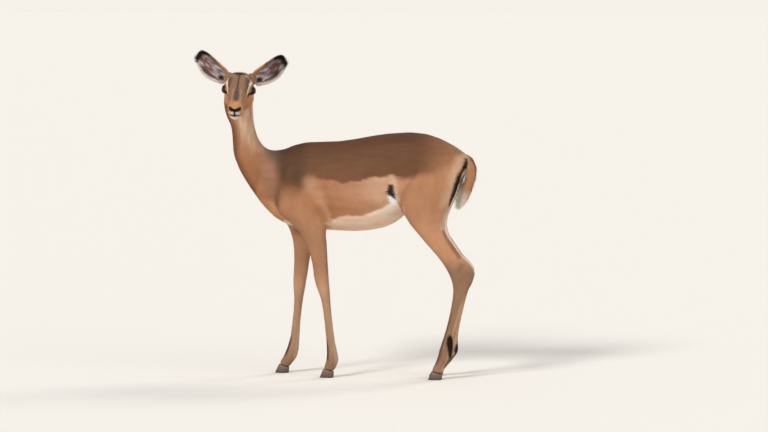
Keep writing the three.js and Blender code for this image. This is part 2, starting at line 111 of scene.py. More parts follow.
def linear(hex_colour: int) -> np.ndarray:
    """An sRGB hex colour as three linear values."""
    srgb = np.array([(hex_colour >> shift & 255) / 255 for shift in (16, 8, 0)])
    return np.where(srgb <= 0.04045, srgb / 12.92, ((srgb + 0.055) / 1.055) ** 2.4)


def mix(under: np.ndarray, over: int | np.ndarray, mask: np.ndarray) -> np.ndarray:
    """Colours with one sRGB hex colour, or with other linear colours, laid over them by a mask."""
    tint = linear(over) if isinstance(over, int) else over
    return under + (tint - under) * np.clip(mask, 0, 1)[:, None]


def bent(value: np.ndarray, *pairs: tuple[float, float]) -> np.ndarray:
    """A line through a few pairs of numbers, read at the values."""
    places, heights = zip(*pairs)
    return np.interp(value, places, heights)


# ---- Places on the animal ---------------------------------------------------------------------------


class Places:
    """The body's and the head's frames, worked out from the boxes of the CAD nodes."""

    rump_end = 421.0  # the trunk's rear end in the body's frame
    eye_centre = np.array([3.0, 43.0, 1.0])
    ear_base = np.array([-48.0, 46.0, 17.0])
    ear_tip = np.array([-85.0, 155.0, 101.0])
    ear_faces = np.array([0.88, 0.1, 0.45])
    ear_half = (20, 26, 30, 32.5, 33, 31.5, 28, 20, 3)
    ear_belly = 11.0
    head_turn, head_drop, head_lean = 96.0, 19.5, 3.3
    mouth_slope, mouth_front, mouth_low = 0.15, 150, 36  # the line between the lips, seen from the side

    def __init__(self) -> None:
        """Reads the frame's boxes."""
        low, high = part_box("trunk")
        self.origin = np.array([high.x / MM - self.rump_end, (low.y + high.y) / 2 / MM, 0.0])
        turned = Matrix.Rotation(math.pi + math.radians(self.head_turn), 3, "Z")
        dropped = Matrix.Rotation(math.radians(self.head_drop), 3, "Y")
        leaned = Matrix.Rotation(-math.radians(self.head_lean), 3, "X")
        self.head_axes = np.array(turned @ dropped @ leaned)
        eyes = [np.array(sum(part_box(f"eye_{side}"), Vector())) / 2 / MM for side in SIDES]
        middle = self.eye_centre * [1, 0, 1]
        self.head_origin = (eyes[0] + eyes[1]) / 2 - self.head_axes @ middle

    def body(self, points: np.ndarray) -> np.ndarray:
        """Points in metres as millimetres in the body's frame."""
        return points / MM - self.origin

    def head(self, points: np.ndarray) -> np.ndarray:
        """Points in metres as millimetres in the head's frame."""
        return (points / MM - self.head_origin) @ self.head_axes

    def from_head(self, points: np.ndarray) -> np.ndarray:
        """Millimetres in the head's frame as points in metres."""
        return (np.asarray(points, float) @ self.head_axes.T + self.head_origin) * MM

    def from_body(self, points: np.ndarray) -> np.ndarray:
        """Millimetres in the body's frame as points in metres."""
        return (np.asarray(points, float) + self.origin) * MM

    def mouth_height(self, ahead: np.ndarray) -> np.ndarray:
        """How high the line of the mouth lies over its front end, for places ahead in the head's frame."""
        return self.mouth_slope * (ahead - self.mouth_front)

    def off_mouth(self, ahead: np.ndarray, up: np.ndarray) -> np.ndarray:
        """How far places ahead and up in the head's frame lie above or below the line of the mouth."""
        return np.abs(self.mouth_height(ahead) - (up + self.mouth_low))

    def ear(self, head_points: np.ndarray, side: int) -> tuple[np.ndarray, np.ndarray, np.ndarray]:
        """Where points lie on an ear.

        Args:
            head_points: points in the head's frame.
            side: 1 for the left ear and -1 for the right one.

        Returns:
            The share of the way from base to tip, the place across from -1 (the upper edge) to 1 (the
            lower one), and the height above the ear's middle sheet, towards its open side.
        """
        away = (head_points - self.ear_base * [1, side, 1]) @ self.ear_axes(side).T
        length = np.linalg.norm(self.ear_tip - self.ear_base)
        share = away[:, 0] / length
        inside = np.clip(share, 0, 1)
        half = np.interp(inside, np.linspace(0, 1, len(self.ear_half)), self.ear_half)
        bow = self.ear_belly * np.sin(np.pi * inside) ** 1.2
        return share, (away[:, 1] - bow) / half, away[:, 2]

    def ear_axes(self, side: int) -> np.ndarray:
        """The directions along an ear, across it to its lower edge, and out of its open side, as rows.

        Args:
            side: 1 for the left ear and -1 for the right one.

        Returns:
            The three directions in the head's frame.
        """
        flip = np.array([1, side, 1])
        along = unit((self.ear_tip - self.ear_base) * flip)
        face = self.ear_faces * flip
        face = unit(face - face @ along * along)
        return np.stack([along, np.cross(along, face) * side, face])


PLACES = Places()


# ---- Blender work -----------------------------------------------------------------------------------


def only(obj: bpy.types.Object) -> None:
    """Selects one object alone and makes it active.

    Args:
        obj: the object to select.
    """
    bpy.ops.object.select_all(action="DESELECT")
    obj.select_set(True)
    bpy.context.view_layer.objects.active = obj


def apply_modifier(obj: bpy.types.Object, kind: str, **settings: object) -> None:
    """Adds one modifier with its settings and applies it.

    Args:
        obj: the object that gets it.
        kind: the modifier's type.
        settings: its properties by name.
    """
    only(obj)
    modifier = obj.modifiers.new(kind.lower(), kind)
    for name, value in settings.items():
        setattr(modifier, name, value)
    bpy.ops.object.modifier_apply(modifier=modifier.name)


def merged_copy(names: Iterable[str], label: str, grow: float) -> bpy.types.Object:
    """One object that holds merged copies of CAD nodes, each grown a little so that they overlap.

    Args:
        names: the CAD nodes to copy.
        label: the new object's name.
        grow: how far every copy is grown, in metres.

    Returns:
        The joined object, selected alone.
    """
    bpy.ops.object.select_all(action="DESELECT")
    for name in names:
        copy = bpy.data.objects.new(label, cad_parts[name].data.copy())
        bpy.context.collection.objects.link(copy)
        copy.select_set(True)
        bpy.context.view_layer.objects.active = copy
    bpy.ops.object.join()
    joined = bpy.context.object
    joined.name = joined.data.name = label
    joined.data.materials.clear()
    bpy.ops.object.mode_set(mode="EDIT")
    bpy.ops.mesh.select_all(action="SELECT")
    bpy.ops.mesh.remove_doubles(threshold=1e-6)
    bpy.ops.transform.shrink_fatten(value=grow)
    bpy.ops.object.mode_set(mode="OBJECT")
    return joined


def keep_side(obj: bpy.types.Object, height: float, above: bool) -> None:
    """Cuts an object at a level plane and keeps what is above or below it, open at the cut.

    Args:
        obj: the object to cut.
        height: where the plane lies, in metres.
        above: whether the upper part is kept.
    """
    only(obj)
    bpy.ops.object.mode_set(mode="EDIT")
    bpy.ops.mesh.select_all(action="SELECT")
    bpy.ops.mesh.bisect(
        plane_co=(0, 0, height), plane_no=(0, 0, 1), clear_inner=above, clear_outer=not above, use_fill=False
    )
    bpy.ops.object.mode_set(mode="OBJECT")


class Surface:
    """A mesh as arrays, with the neighbour sums that smooth its shape and its fields."""

    def __init__(self, obj: bpy.types.Object) -> None:
        """Reads an object's mesh.

        Args:
            obj: the object to read.
        """
        self.obj = obj
        mesh = obj.data
        mesh.calc_loop_triangles()
        self.points = np.empty((len(mesh.vertices), 3))
        mesh.vertices.foreach_get("co", self.points.ravel())
        self.edges = np.empty((len(mesh.edges), 2), np.int64)
        mesh.edges.foreach_get("vertices", self.edges.ravel())
        self.triangles = np.empty((len(mesh.loop_triangles), 3), np.int64)
        mesh.loop_triangles.foreach_get("vertices", self.triangles.ravel())
        self.degree = np.bincount(self.edges.ravel(), minlength=len(self.points)).astype(float)

    def normals(self) -> np.ndarray:
        """The outward direction at every point.

        Returns:
            A unit vector for each point.
        """
        corners = self.points[self.triangles]
        facing = np.cross(corners[:, 1] - corners[:, 0], corners[:, 2] - corners[:, 0])
        total = np.zeros_like(self.points)
        for axis in range(3):
            for corner in range(3):
                total[:, axis] += np.bincount(
                    self.triangles[:, corner], facing[:, axis], minlength=len(self.points)
                )
        return unit(total)

    def spread(self, values: np.ndarray, rounds: int, share: np.ndarray | float = 0.5) -> np.ndarray:
        """Values at the points, evened out along the edges.

        Args:
            values: one row for each point.
            rounds: how many times each value moves towards its neighbours' mean.
            share: how far it moves each time, from 0 to 1, for all points or for each.

        Returns:
            The evened values.
        """
        flat = values.reshape(len(values), -1).astype(float)
        step = np.broadcast_to(np.asarray(share, float), len(flat))[:, None]
        a, b = self.edges.T
        count = len(flat)
        for _ in range(rounds):
            sums = [
                np.bincount(a, column[b], count) + np.bincount(b, column[a], count) for column in flat.T
            ]
            flat = flat + step * (np.stack(sums, 1) / self.degree[:, None] - flat)
        return flat.reshape(values.shape)

    def write(self) -> None:
        """Puts the points back into the mesh."""
        self.obj.data.vertices.foreach_set("co", self.points.ravel())
        self.obj.data.update()


class Anatomy:
    """The CAD flesh as one search tree, which tells which node a point of the skin belongs to."""

    def __init__(self) -> None:
        """Gathers the triangles of every flesh node."""
        corners, self.owners = [], []
        for index, name in enumerate(FLESH):
            surface = Surface(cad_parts[name])
            corners.append(surface.points[surface.triangles])
            self.owners += [index] * len(surface.triangles)
        points = np.concatenate(corners).reshape(-1, 3)
        faces = np.arange(len(points)).reshape(-1, 3)
        self.tree = BVHTree.FromPolygons(points.tolist(), faces.tolist())

    def node_of(self, points: np.ndarray) -> np.ndarray:
        """The index in FLESH of the node nearest to each point."""
        return np.array([self.owners[self.tree.find_nearest(point)[2]] for point in points.tolist()])


# ---- Hair of each region ---------------------------------------------------------------------------


@dataclass(frozen=True)
class Hair:
    """The hair of one region, in millimetres.

    depth is how far the skin lies inside the coat's outside, cover how many tufts lie over each place, soften
    how much the region's shape is evened out, way the hair's lie in the region's own frame, stray how far
    single tufts turn away from it, in radians, and loose the rise of tufts that hang free, as a share of
    their length.
    """

    length: float
    width: float
    depth: float
    cover: float
    soften: float
    way: tuple[float, float, float]
    stray: float = 0.12
    loose: float = 0.0


HAIR = {
    "head": Hair(6.0, 0.85, 0.9, 2.9, 0.34, (-1.0, 0.0, 0.15)),
    "lower_jaw": Hair(6.0, 0.85, 0.9, 2.6, 0.4, (-1.0, 0.0, -0.05)),
    "ear": Hair(8.5, 0.75, 0.7, 2.2, 0.12, (0.0, 0.0, 0.0), 0.24, 0.1),
    "neck": Hair(13.0, 1.2, 1.8, 3.0, 0.6, (0.25, 0.0, -1.0)),
    "trunk": Hair(14.0, 1.35, 2.0, 2.6, 1.0, (1.0, 0.0, -0.22)),
    "tail": Hair(44.0, 1.5, 6.0, 12.0, 0.5, (-0.75, 0.0, -1.0), 0.24, 0.12),
    "arm": Hair(12.0, 1.3, 1.8, 2.9, 0.85, (0.3, 0.0, -1.0)),
    "forearm": Hair(9.0, 1.1, 1.3, 2.7, 0.4, (0.05, 0.0, -1.0)),
    "thigh": Hair(13.0, 1.4, 1.8, 2.9, 0.9, (0.6, 0.0, -0.8)),
    "shank": Hair(10.0, 1.2, 1.4, 2.7, 0.35, (0.5, 0.0, -0.86)),
    "cannon": Hair(7.5, 0.95, 1.1, 2.5, 0.16, (0.0, 0.0, -1.0)),
    "pastern": Hair(7.5, 0.95, 1.0, 2.5, 0.16, (0.0, 0.0, -1.0)),
}


def hair_of(node: str) -> Hair:
    """The hair of a flesh node.

    Args:
        node: the flesh node's name.

    Returns:
        Its region's hair.
    """
    if node.startswith("ear"):
        return HAIR["ear"]
    return HAIR.get(node) or HAIR[node.rsplit("_", 1)[1]]


# ---- Skin ------------------------------------------------------------------------------------------


class Frame(Enum):
    """Which of the animal's frames a stroke is given in."""

    BODY = "body"
    HEAD = "head"


@dataclass(frozen=True)
class Stroke:
    """A ridge or a groove along a line of points, on both sides of the animal.

    The height is above the skin, or below it where negative, and the radius is half the width, in
    millimetres.
    """

    path: tuple[tuple[float, float, float], ...]
    radius: float
    height: float
    within: Frame = Frame.BODY

    def lift(self, points: np.ndarray) -> np.ndarray:
        """How far each point is raised, for points in the stroke's frame with y made positive.

        Args:
            points: places in the stroke's frame, in millimetres.

        Returns:
            A height for each, in millimetres.
        """
        nearest = np.full(len(points), np.inf)
        path = np.asarray(self.path, float)
        pairs = list(zip(path[:-1], path[1:])) or [(path[0], path[0] + 1e-3)]
        for start, end in pairs:
            along = end - start
            share = np.clip((points - start) @ along / (along @ along), 0, 1)
            nearest = np.minimum(nearest, np.linalg.norm(points - start - share[:, None] * along, axis=1))
        return self.height * np.exp(-((nearest / self.radius) ** 2))


BODY_STROKES = (
    # The shoulder blade's ridge, the hollow before it, and the point of the shoulder.
    Stroke(((-188, 70, 796), (-214, 84, 690), (-226, 84, 620)), 24, 3.0),
    Stroke(((-230, 66, 790), (-242, 76, 700), (-254, 70, 620)), 26, -3.8),
    Stroke(((-160, 84, 790), (-160, 92, 700)), 20, -2.0),
    Stroke(((-232, 90, 606), (-225, 92, 580)), 28, 4.0),
    # The triceps, the groove behind it and the elbow.
    Stroke(((-130, 96, 700), (-106, 98, 620)), 34, 3.0),
    Stroke(((-80, 98, 680), (-60, 100, 610), (-46, 92, 560)), 20, -3.2),
    Stroke(((-80, 84, 558), (-76, 80, 542)), 16, 4.0),
    # The last ribs, the hollow of the flank, the hip bone and the stifle.
    Stroke(((60, 117, 760), (96, 120, 640), (90, 100, 560)), 26, 1.6),
    Stroke(((150, 100, 800), (172, 104, 740)), 36, -4.0),
    Stroke(((236, 66, 828), (246, 80, 808)), 26, 3.6),
    Stroke(((200, 100, 660), (212, 104, 610)), 30, 3.5),
    # The fold of the flank, the thigh's two muscles and the groove between them.
    Stroke(((164, 100, 700), (158, 98, 640), (168, 96, 590)), 18, -2.4),
    Stroke(((330, 104, 720), (318, 106, 640), (322, 98, 560)), 22, -2.2),
    Stroke(((376, 80, 740), (366, 92, 660)), 24, 2.4),
    # The web before the Achilles tendon, the tendon itself and the bones of the hock.
    Stroke(((348, 84, 536), (376, 84, 488), (404, 82, 436)), 11, -6.5),
    Stroke(((376, 66, 540), (404, 66, 486), (440, 64, 412)), 8, 1.8),
    Stroke(((322, 84, 500), (352, 84, 448), (382, 84, 404)), 12, 2.2),
    Stroke(((412, 82, 400), (400, 82, 384)), 8, -2.4),
    Stroke(((398, 82, 366), (392, 82, 344)), 11, 2.0),
    # The tendons behind the cannon bones, with a groove on each side.
    Stroke(((404, 78, 310), (384, 78, 220), (366, 80, 150)), 5, -2.2),
    # The pit of the throat, and the two cords of the lower neck.
    Stroke(((-398, 0, 742), (-352, 0, 662), (-312, 0, 606)), 18, -3.4),
    Stroke(((-396, 30, 778), (-350, 44, 680), (-296, 52, 590)), 22, 2.6),
    Stroke(((-372, 42, 800), (-330, 56, 700)), 18, -2.2),
    Stroke(((-330, 20, 868), (-300, 26, 818)), 20, 2.0),
)

HEAD_STROKES = (
    # The brow's bone, the hollow behind it and the ridge of the cheekbone.
    Stroke(((24, 36, 24), (6, 44, 26), (-16, 46, 23)), 7, 2.6, Frame.HEAD),
    Stroke(((-34, 46, 6), (-30, 48, -10)), 10, -2.6, Frame.HEAD),
    Stroke(((34, 38, -18), (8, 50, -22), (-22, 52, -20)), 6, 2.4, Frame.HEAD),
    # The hollow before the eye, and the flat of the jaw's muscle.
    Stroke(((34, 36, -4), (46, 32, -12)), 6, -2.8, Frame.HEAD),
    Stroke(((-22, 46, -42), (-34, 42, -28)), 19, 1.2, Frame.HEAD),
    Stroke(((58, 31, -32), (84, 28, -36)), 8, -1.8, Frame.HEAD),
    # The forehead's two low swellings with the dip between, and the bridge of the nose.
    Stroke(((-16, 20, 53), (14, 18, 44)), 12, 1.8, Frame.HEAD),
    Stroke(((56, 0, 29), (96, 0, 15)), 9, 1.0, Frame.HEAD),
    Stroke(((60, 17, 22), (96, 15, 9)), 6, -1.4, Frame.HEAD),
    # The nostrils, their outer wings, the groove of the upper lip and the chin.
    Stroke(((147, 6.5, -15), (143, 13, -11), (137, 19, -5)), 3.0, -6.5, Frame.HEAD),
    Stroke(((146, 8, -6), (138, 17.5, 0.5)), 3.2, 1.8, Frame.HEAD),
    Stroke(((146, 16, -17), (136, 23.5, -10)), 3.4, 1.6, Frame.HEAD),
    Stroke(((149, 0, -14), (149, 0, -34)), 1.9, -2.2, Frame.HEAD),
    Stroke(((138, 15, -30), (112, 24, -38)), 7, 1.8, Frame.HEAD),
    Stroke(((136, 0, -52), (140, 6, -46)), 9, 1.6, Frame.HEAD),
)


BEHIND_EYE = -9.0  # the depth inside the lids' opening that stands for a place behind the eye


@dataclass
class EyeSocket:
    """The lids round one eye, shaped on the skin that closes over it. Sizes are in millimetres."""

    side: int
    gaze: tuple[float, float, float] = (0.44, 0.88, 0.10)
    tilt: float = math.radians(24)  # the front corner lies lower than the rear one
    lid_radius: float = 17.0
    sunk_radius: float = 11.5
    half_length: float = 0.80  # of the opening, as the sine of its angle from the gaze
    half_height: float = 0.56
    reach: float = 26.0  # how far from the eye's centre the skin is shaped
    snap: float = 0.05  # the band beside the opening's edge that is drawn onto it

    def axes(self) -> tuple[np.ndarray, np.ndarray, np.ndarray, np.ndarray]:
        """The eye's centre, and the directions of its gaze, its front corner and its upper lid.

        Returns:
            Four vectors in the head's frame, the first a place in millimetres and the others of length 1.
        """
        flip = np.array([1, self.side, 1])
        gaze = unit(np.array(self.gaze) * flip)
        up = unit(np.array([0, 0, 1.0]) - gaze[2] * gaze)
        ahead = unit(np.array([1.0, 0, 0]) - gaze[0] * gaze)
        ahead = unit(ahead - ahead @ up * up)
        front = math.cos(self.tilt) * ahead - math.sin(self.tilt) * up
        lid = math.sin(self.tilt) * ahead + math.cos(self.tilt) * up
        return Places.eye_centre * flip, gaze, front, lid

    def inside(self, head_points: np.ndarray) -> np.ndarray:
        """How far inside the opening each point lies, negative outside it, and BEHIND_EYE behind the eye.

        Args:
            head_points: places in the head's frame.

        Returns:
            A share of the half turn for each, 0 on the opening's edge.
        """
        centre, gaze, front, lid = self.axes()
        way = unit(head_points - centre)
        along, up = way @ front, way @ lid
        edge = self.half_height * np.clip(1 - (along / self.half_length) ** 2, -2, 1)
        near = np.linalg.norm(head_points - centre, axis=1) < self.reach
        return np.where((way @ gaze > 0) & near, edge - np.abs(up), BEHIND_EYE)

    def shape(self, head_points: np.ndarray) -> np.ndarray:
        """The points with the lids drawn round the opening, and the skin inside it sunk behind the eye.

        Args:
            head_points: places in the head's frame.

        Returns:
            The moved places.
        """
        centre, gaze, front, lid = self.axes()
        away = head_points - centre
        reach = np.linalg.norm(away, axis=1)
        way = away / reach[:, None]
        depth = self.inside(head_points)
        along, up = way @ front, way @ lid
        edge = self.half_height * np.clip(1 - (along / self.half_length) ** 2, 0, 1)
        snap = np.abs(depth) < self.snap
        level = np.where(snap, np.sign(up) * edge, up)
        ahead = np.sqrt(np.clip(1 - along**2 - level**2, 0.01, 1))
        snapped = along[:, None] * front + level[:, None] * lid + ahead[:, None] * gaze
        way = np.where(snap[:, None], unit(snapped), way)
        rim = self.lid_radius + 0.9 * bell(depth, -0.07, 0.06) - 0.7 * bell(depth, -0.26, 0.07)
        blend = ramp(depth, -0.75, -0.2)
        radius = reach + (rim - reach) * blend
        radius = np.where(depth >= self.snap, self.sunk_radius, radius)
        return np.where(depth[:, None] > BEHIND_EYE + 1, centre + way * radius[:, None], head_points)


SOCKETS = {side: EyeSocket(side) for side in (1, -1)}


@dataclass
class Skin:
    """One closed skin over the whole animal, inside the CAD flesh by the coat's depth."""

    body_grain: float = 0.005  # the spacing of points on the body, in metres
    head_grain: float = 0.0017
    seam_low: float = 0.880  # the two heights on the neck between which the grains meet
    seam_high: float = 0.886
    overlap: float = 0.0005
    even_rounds: int = 90
    region_rounds: int = 25  # how far one region's hair evens out into the next
    gap_rounds: int = 14
    ear_corner: float = 0.92  # the share of an ear's length where its corner is drawn back from
    ear_pull: float = 85.0  # how far it would be drawn back over a whole length, in millimetres
    far_aside: float = 30.0  # how far sideways from a painted point its place on the skin may be
    surface: Surface = field(init=False)
    nodes: np.ndarray = field(init=False)
    tree: BVHTree = field(init=False)

    def shell(self) -> bpy.types.Object:
        """The CAD flesh as one even mesh, coarse on the body and fine on the head.

        Returns:
            The mesh's object.
        """
        body = merged_copy([name for name in FLESH if name not in HEAD_FLESH], "skin", self.overlap)
        apply_modifier(body, "REMESH", mode="VOXEL", voxel_size=self.body_grain, adaptivity=0)
        keep_side(body, self.seam_low, above=False)
        head = merged_copy([*HEAD_FLESH, "neck"], "skin_head", self.overlap)
        for socket in SOCKETS.values():
            centre = PLACES.from_head(socket.axes()[0])
            bpy.ops.mesh.primitive_uv_sphere_add(
                segments=48, ring_count=24, radius=socket.lid_radius * MM, location=centre
            )
            ball = bpy.context.object
            bpy.ops.object.transform_apply(location=True)
            only(ball)
            head.select_set(True)
            bpy.context.view_layer.objects.active = head
            bpy.ops.object.join()
        apply_modifier(head, "REMESH", mode="VOXEL", voxel_size=self.head_grain, adaptivity=0)
        keep_side(head, self.seam_high, above=True)
        only(head)
        body.select_set(True)
        bpy.context.view_layer.objects.active = body
        bpy.ops.object.join()
        bpy.ops.object.mode_set(mode="EDIT")
        bpy.ops.mesh.select_mode(type="EDGE")
        bpy.ops.mesh.select_all(action="DESELECT")
        bpy.ops.mesh.select_non_manifold(
            extend=False, use_wire=False, use_boundary=True, use_multi_face=False,
            use_non_contiguous=False, use_verts=False,
        )
        bpy.ops.mesh.bridge_edge_loops()
        bpy.ops.mesh.select_all(action="SELECT")
        bpy.ops.mesh.normals_make_consistent(inside=False)
        bpy.ops.mesh.select_mode(type="VERT")
        bpy.ops.object.mode_set(mode="OBJECT")
        return body

    def field_of(self, quality: str) -> np.ndarray:
        """One number of the regions' hair at every point of the skin."""
        values = np.array([getattr(hair_of(name), quality) for name in FLESH])
        return values[self.nodes]

    def settle(self) -> None:
        """Evens out the facets and lays the skin inside the coat's outside by the coat's depth."""
        surface = self.surface
        outside = BVHTree.FromPolygons(surface.points.tolist(), surface.triangles.tolist())
        soften = surface.spread(self.field_of("soften"), self.region_rounds)
        surface.points = surface.spread(surface.points, self.even_rounds, 0.5 * soften)
        normals = surface.normals()
        gap = np.empty(len(surface.points))
        for index, point in enumerate(surface.points.tolist()):
            found, normal, _, _ = outside.find_nearest(point)
            gap[index] = (Vector(point) - found).dot(normal)
        depth = surface.spread(self.field_of("depth"), self.region_rounds) * MM
        correction = surface.spread(-depth - gap, self.gap_rounds)
        surface.points += normals * correction[:, None]

    def sculpt(self) -> None:
        """Raises and sinks the muscles, bones and folds, then shapes the mouth and the lids."""
        surface = self.surface
        normals = surface.normals()
        body = PLACES.body(surface.points)
        body[:, 1] = np.abs(body[:, 1])
        head = PLACES.head(surface.points)
        on_head = self.on_head()
        mirrored = np.column_stack([head[:, 0], np.abs(head[:, 1]), head[:, 2]])
        rise = np.zeros(len(surface.points))
        for stroke in BODY_STROKES:
            rise += stroke.lift(body) * (1 - on_head)
        for stroke in HEAD_STROKES:
            rise += stroke.lift(mirrored) * on_head
        mouth = PLACES.off_mouth(head[:, 0], head[:, 2])
        rise -= 1.8 * np.exp(-((mouth / 1.7) ** 2)) * ramp(head[:, 0], 62, 84) * on_head
        surface.points += normals * rise[:, None] * MM
        for side, name in EARS:
            head = PLACES.head(surface.points)
            beyond = np.clip(PLACES.ear(head, side)[0] - self.ear_corner, 0, 1)
            back = self.ear_pull * beyond * (self.nodes == FLESH.index(name))
            surface.points = PLACES.from_head(head - back[:, None] * PLACES.ear_axes(side)[0])
        for socket in SOCKETS.values():
            head = PLACES.head(surface.points)
            near = (np.linalg.norm(head - socket.axes()[0], axis=1) < socket.reach) & (on_head > 0.5)
            shaped = PLACES.from_head(socket.shape(head))
            surface.points = np.where(near[:, None], shaped, surface.points)

    def on_head(self) -> np.ndarray:
        """1 on the head and jaw, 0 elsewhere, ears included, with a soft edge."""
        flags = np.isin(self.nodes, [FLESH.index("head"), FLESH.index("lower_jaw")])
        return self.surface.spread(flags.astype(float), 16)

    def build(self) -> bpy.types.Object:
        """The finished skin.

        Returns:
            The skin's object.
        """
        skin = self.shell()
        self.surface = Surface(skin)
        self.nodes = Anatomy().node_of(self.surface.points)
        LOG.info("skin: %d triangles", len(self.surface.triangles))
        self.settle()
        self.sculpt()
        self.surface.write()
        self.tree = BVHTree.FromPolygons(self.surface.points.tolist(), self.surface.triangles.tolist())
        only(skin)
        bpy.ops.object.shade_smooth()
        return skin

    def beside(self, points: np.ndarray) -> np.ndarray:
        """The places that a level line towards each point from its own side of the animal meets first.

        Where the line misses, or meets a part that lies far from the point, the nearest place is taken.

        Args:
            points: places in metres.

        Returns:
            One place on the skin for each.
        """
        middle = PLACES.origin[1] * MM
        places = []
        for point in points.tolist():
            inward = 1 if point[1] < middle else -1
            hit = self.tree.ray_cast((point[0], middle - inward, point[2]), (0, inward, 0))[0]
            if hit is None or abs(hit.y - point[1]) > self.far_aside * MM:
                hit = self.tree.find_nearest(point)[0]
            places.append(hit[:])
        return np.array(places)

    def nearest(self, points: np.ndarray) -> tuple[np.ndarray, np.ndarray]:
        """The skin's nearest places to points, and its outward directions there.

        Args:
            points: places in metres.

        Returns:
            The skin's places, and its outward directions there.
        """
        found = [self.tree.find_nearest(point)[:2] for point in points.tolist()]
        places, facing = (np.array([pair[k][:] for pair in found]) for k in (0, 1))
        return places, facing


# ---- Markings --------------------------------------------------------------------------------------


COLOUR_LAYER = "coat_colour"  # where the finishes read the colours of a mesh


def paint_points(mesh: bpy.types.Mesh, colours: np.ndarray) -> None:
    """Stores a colour for every point of a mesh, for its finish to read.

    Args:
        mesh: the mesh to colour.
        colours: a linear colour for each point.
    """
    rgba = np.concatenate([colours, np.ones((len(colours), 1))], 1)
    attribute = mesh.color_attributes.new(COLOUR_LAYER, "FLOAT_COLOR", "POINT")
    attribute.data.foreach_set("color", rgba.astype(np.float32).ravel())


class Part(Enum):
    """The parts whose colours differ, in the order of their shares."""

    HEAD = 0
    EAR_LEFT = 1
    EAR_RIGHT = 2
    TAIL = 3
    TRUNK = 4
    FORE_LEG = 5
    HIND_LEG = 6


def part_of(node: str) -> Part | None:
    """The part that a flesh node belongs to, or None for the neck, whose colours lie under the rest.

    Args:
        node: the flesh node's name.

    Returns:
        The part.
    """
    if node.startswith("foreleg"):
        return Part.FORE_LEG
    if node.startswith("hindleg"):
        return Part.HIND_LEG
    return {
        "head": Part.HEAD, "lower_jaw": Part.HEAD, "ear_left": Part.EAR_LEFT, "ear_right": Part.EAR_RIGHT,
        "tail": Part.TAIL, "trunk": Part.TRUNK,
    }.get(node)


def shares_of(skin: Skin) -> np.ndarray:
    """How far each point of the skin belongs to every part, with soft edges.

    Args:
        skin: the finished skin.

    Returns:
        A row for each point, with a share from 0 to 1 for every part in the order of Part.
    """
    owners = np.array([-1 if part_of(name) is None else part_of(name).value for name in FLESH])
    flags = owners[skin.nodes][:, None] == np.arange(len(Part))
    return skin.surface.spread(flags.astype(float), 6)


class Tint:
    """The coat's colours, as sRGB."""

    ORANGE = 0xAE7650
    SADDLE = 0x764E37
    SPINE = 0x634433
    RUMP = 0x9A6C4F
    BELLY = 0xFFE0CC
    WHITE = 0xEDE6DC
    FRINGE = 0xFFEEDB
    CREAM = 0xD8BDA0
    NECK = 0xA06D4C
    NECK_PALE = 0xD6B497
    BLACK = 0x120E0D
    DARK = 0x2C211D
    BROW = 0x483830
    FACE = 0x8C6A54
    CHEEK = 0xB68058
    BRIDGE = 0x4B464A
    # painted shade for the web before the Achilles tendon
    WEB_SHADE = 0x7E553B
    EAR_BACK = 0xB58460
    EAR_LINING = 0xAA9B9B
    EAR_CORE = 0x85594C
    EAR_DARK = 0x3B2C26


def graded(values: np.ndarray, *stops: tuple[float, int]) -> np.ndarray:
    """A colour for each value, from colours at a few places.

    Args:
        values: what the colour follows.
        stops: a value and its sRGB hex colour at each place, in rising order.

    Returns:
        A linear colour for each value.
    """
    places, tints = zip(*stops)
    colours = np.array([linear(tint) for tint in tints])
    return np.stack([np.interp(values, places, column) for column in colours.T], 1)


@dataclass(frozen=True)
class Paint:
    """A line of colour along the skin, on both sides of the animal or on one.

    The path's points are x, y, z and half the line's width there, in millimetres, with y towards the painted
    side. Softness is the share of the half width that the edge takes on each side of it, and deep how much of
    a sideways distance counts, which is less where a line runs on across a crease.
    """

    path: tuple[tuple[float, float, float, float], ...]
    colour: int
    strength: float = 1.0
    softness: float = 0.4
    within: Frame = Frame.BODY
    sides: tuple[int, ...] = (1, -1)
    deep: float = 1.0


# The black stripe down each buttock, from the tail's root to the thigh's rear edge.
STRIPE = (
    (421, 26, 782, 4.5), (410, 42, 748, 9.5), (397, 54, 712, 11.5), (389, 60, 684, 11.5),
    (381, 62, 658, 10.5), (371, 63, 634, 7), (363, 64, 612, 2.5),
)

BODY_PAINT = (
    # Painted shade in the hollow before the shoulder and behind the shoulder blade's ridge, a painted
    # highlight along the triceps' edge, and a pale spot on the elbow.
    Paint(((-284, 60, 770, 26), (-282, 66, 710, 28), (-270, 70, 640, 18)), 0x80665A, 0.45, 0.95, deep=0.25),
    Paint(((-232, 66, 780, 17), (-238, 72, 690, 20), (-248, 72, 616, 13)), 0x5A3E30, 0.55, 0.95, deep=0.25),
    Paint(((-165, 80, 790, 13), (-163, 90, 690, 15)), 0x553A2D, 0.4, 0.95),
    Paint(
        ((-136, 96, 690, 20), (-108, 98, 655, 19), (-82, 98, 611, 13), (-64, 90, 572, 7)),
        0xC49877, 0.5, 0.95,
    ),
    Paint(((-66, 84, 560, 6), (-64, 80, 548, 5)), Tint.CREAM, 0.7, 0.6),
    # The pale flank above the spot and along the fold before the thigh.
    Paint(((160, 100, 705, 12), (160, 100, 676, 13)), 0xD0AC90, 0.7, 0.8),
    Paint(((170, 104, 700, 4), (176, 102, 650, 4), (188, 98, 590, 4)), 0xDDBFA3, 0.6, 0.8),
    # Painted shade in the web before the Achilles tendon and in the hollow of the hock.
    Paint(((352, 84, 524, 7), (378, 84, 488, 9), (404, 80, 440, 8)), Tint.WEB_SHADE, 0.75, 0.7),
    Paint(((408, 82, 408, 7), (400, 82, 392, 5)), 0x7A5743, 0.35, 0.9),
    # The dark patch behind each hind pastern.
    Paint(((378, 56, 58, 8), (368, 56, 42, 8)), 0x3A2821, 0.85, 0.5, deep=0.5),
    Paint(STRIPE, Tint.BLACK, 1.0, 0.4, deep=0.65),
)

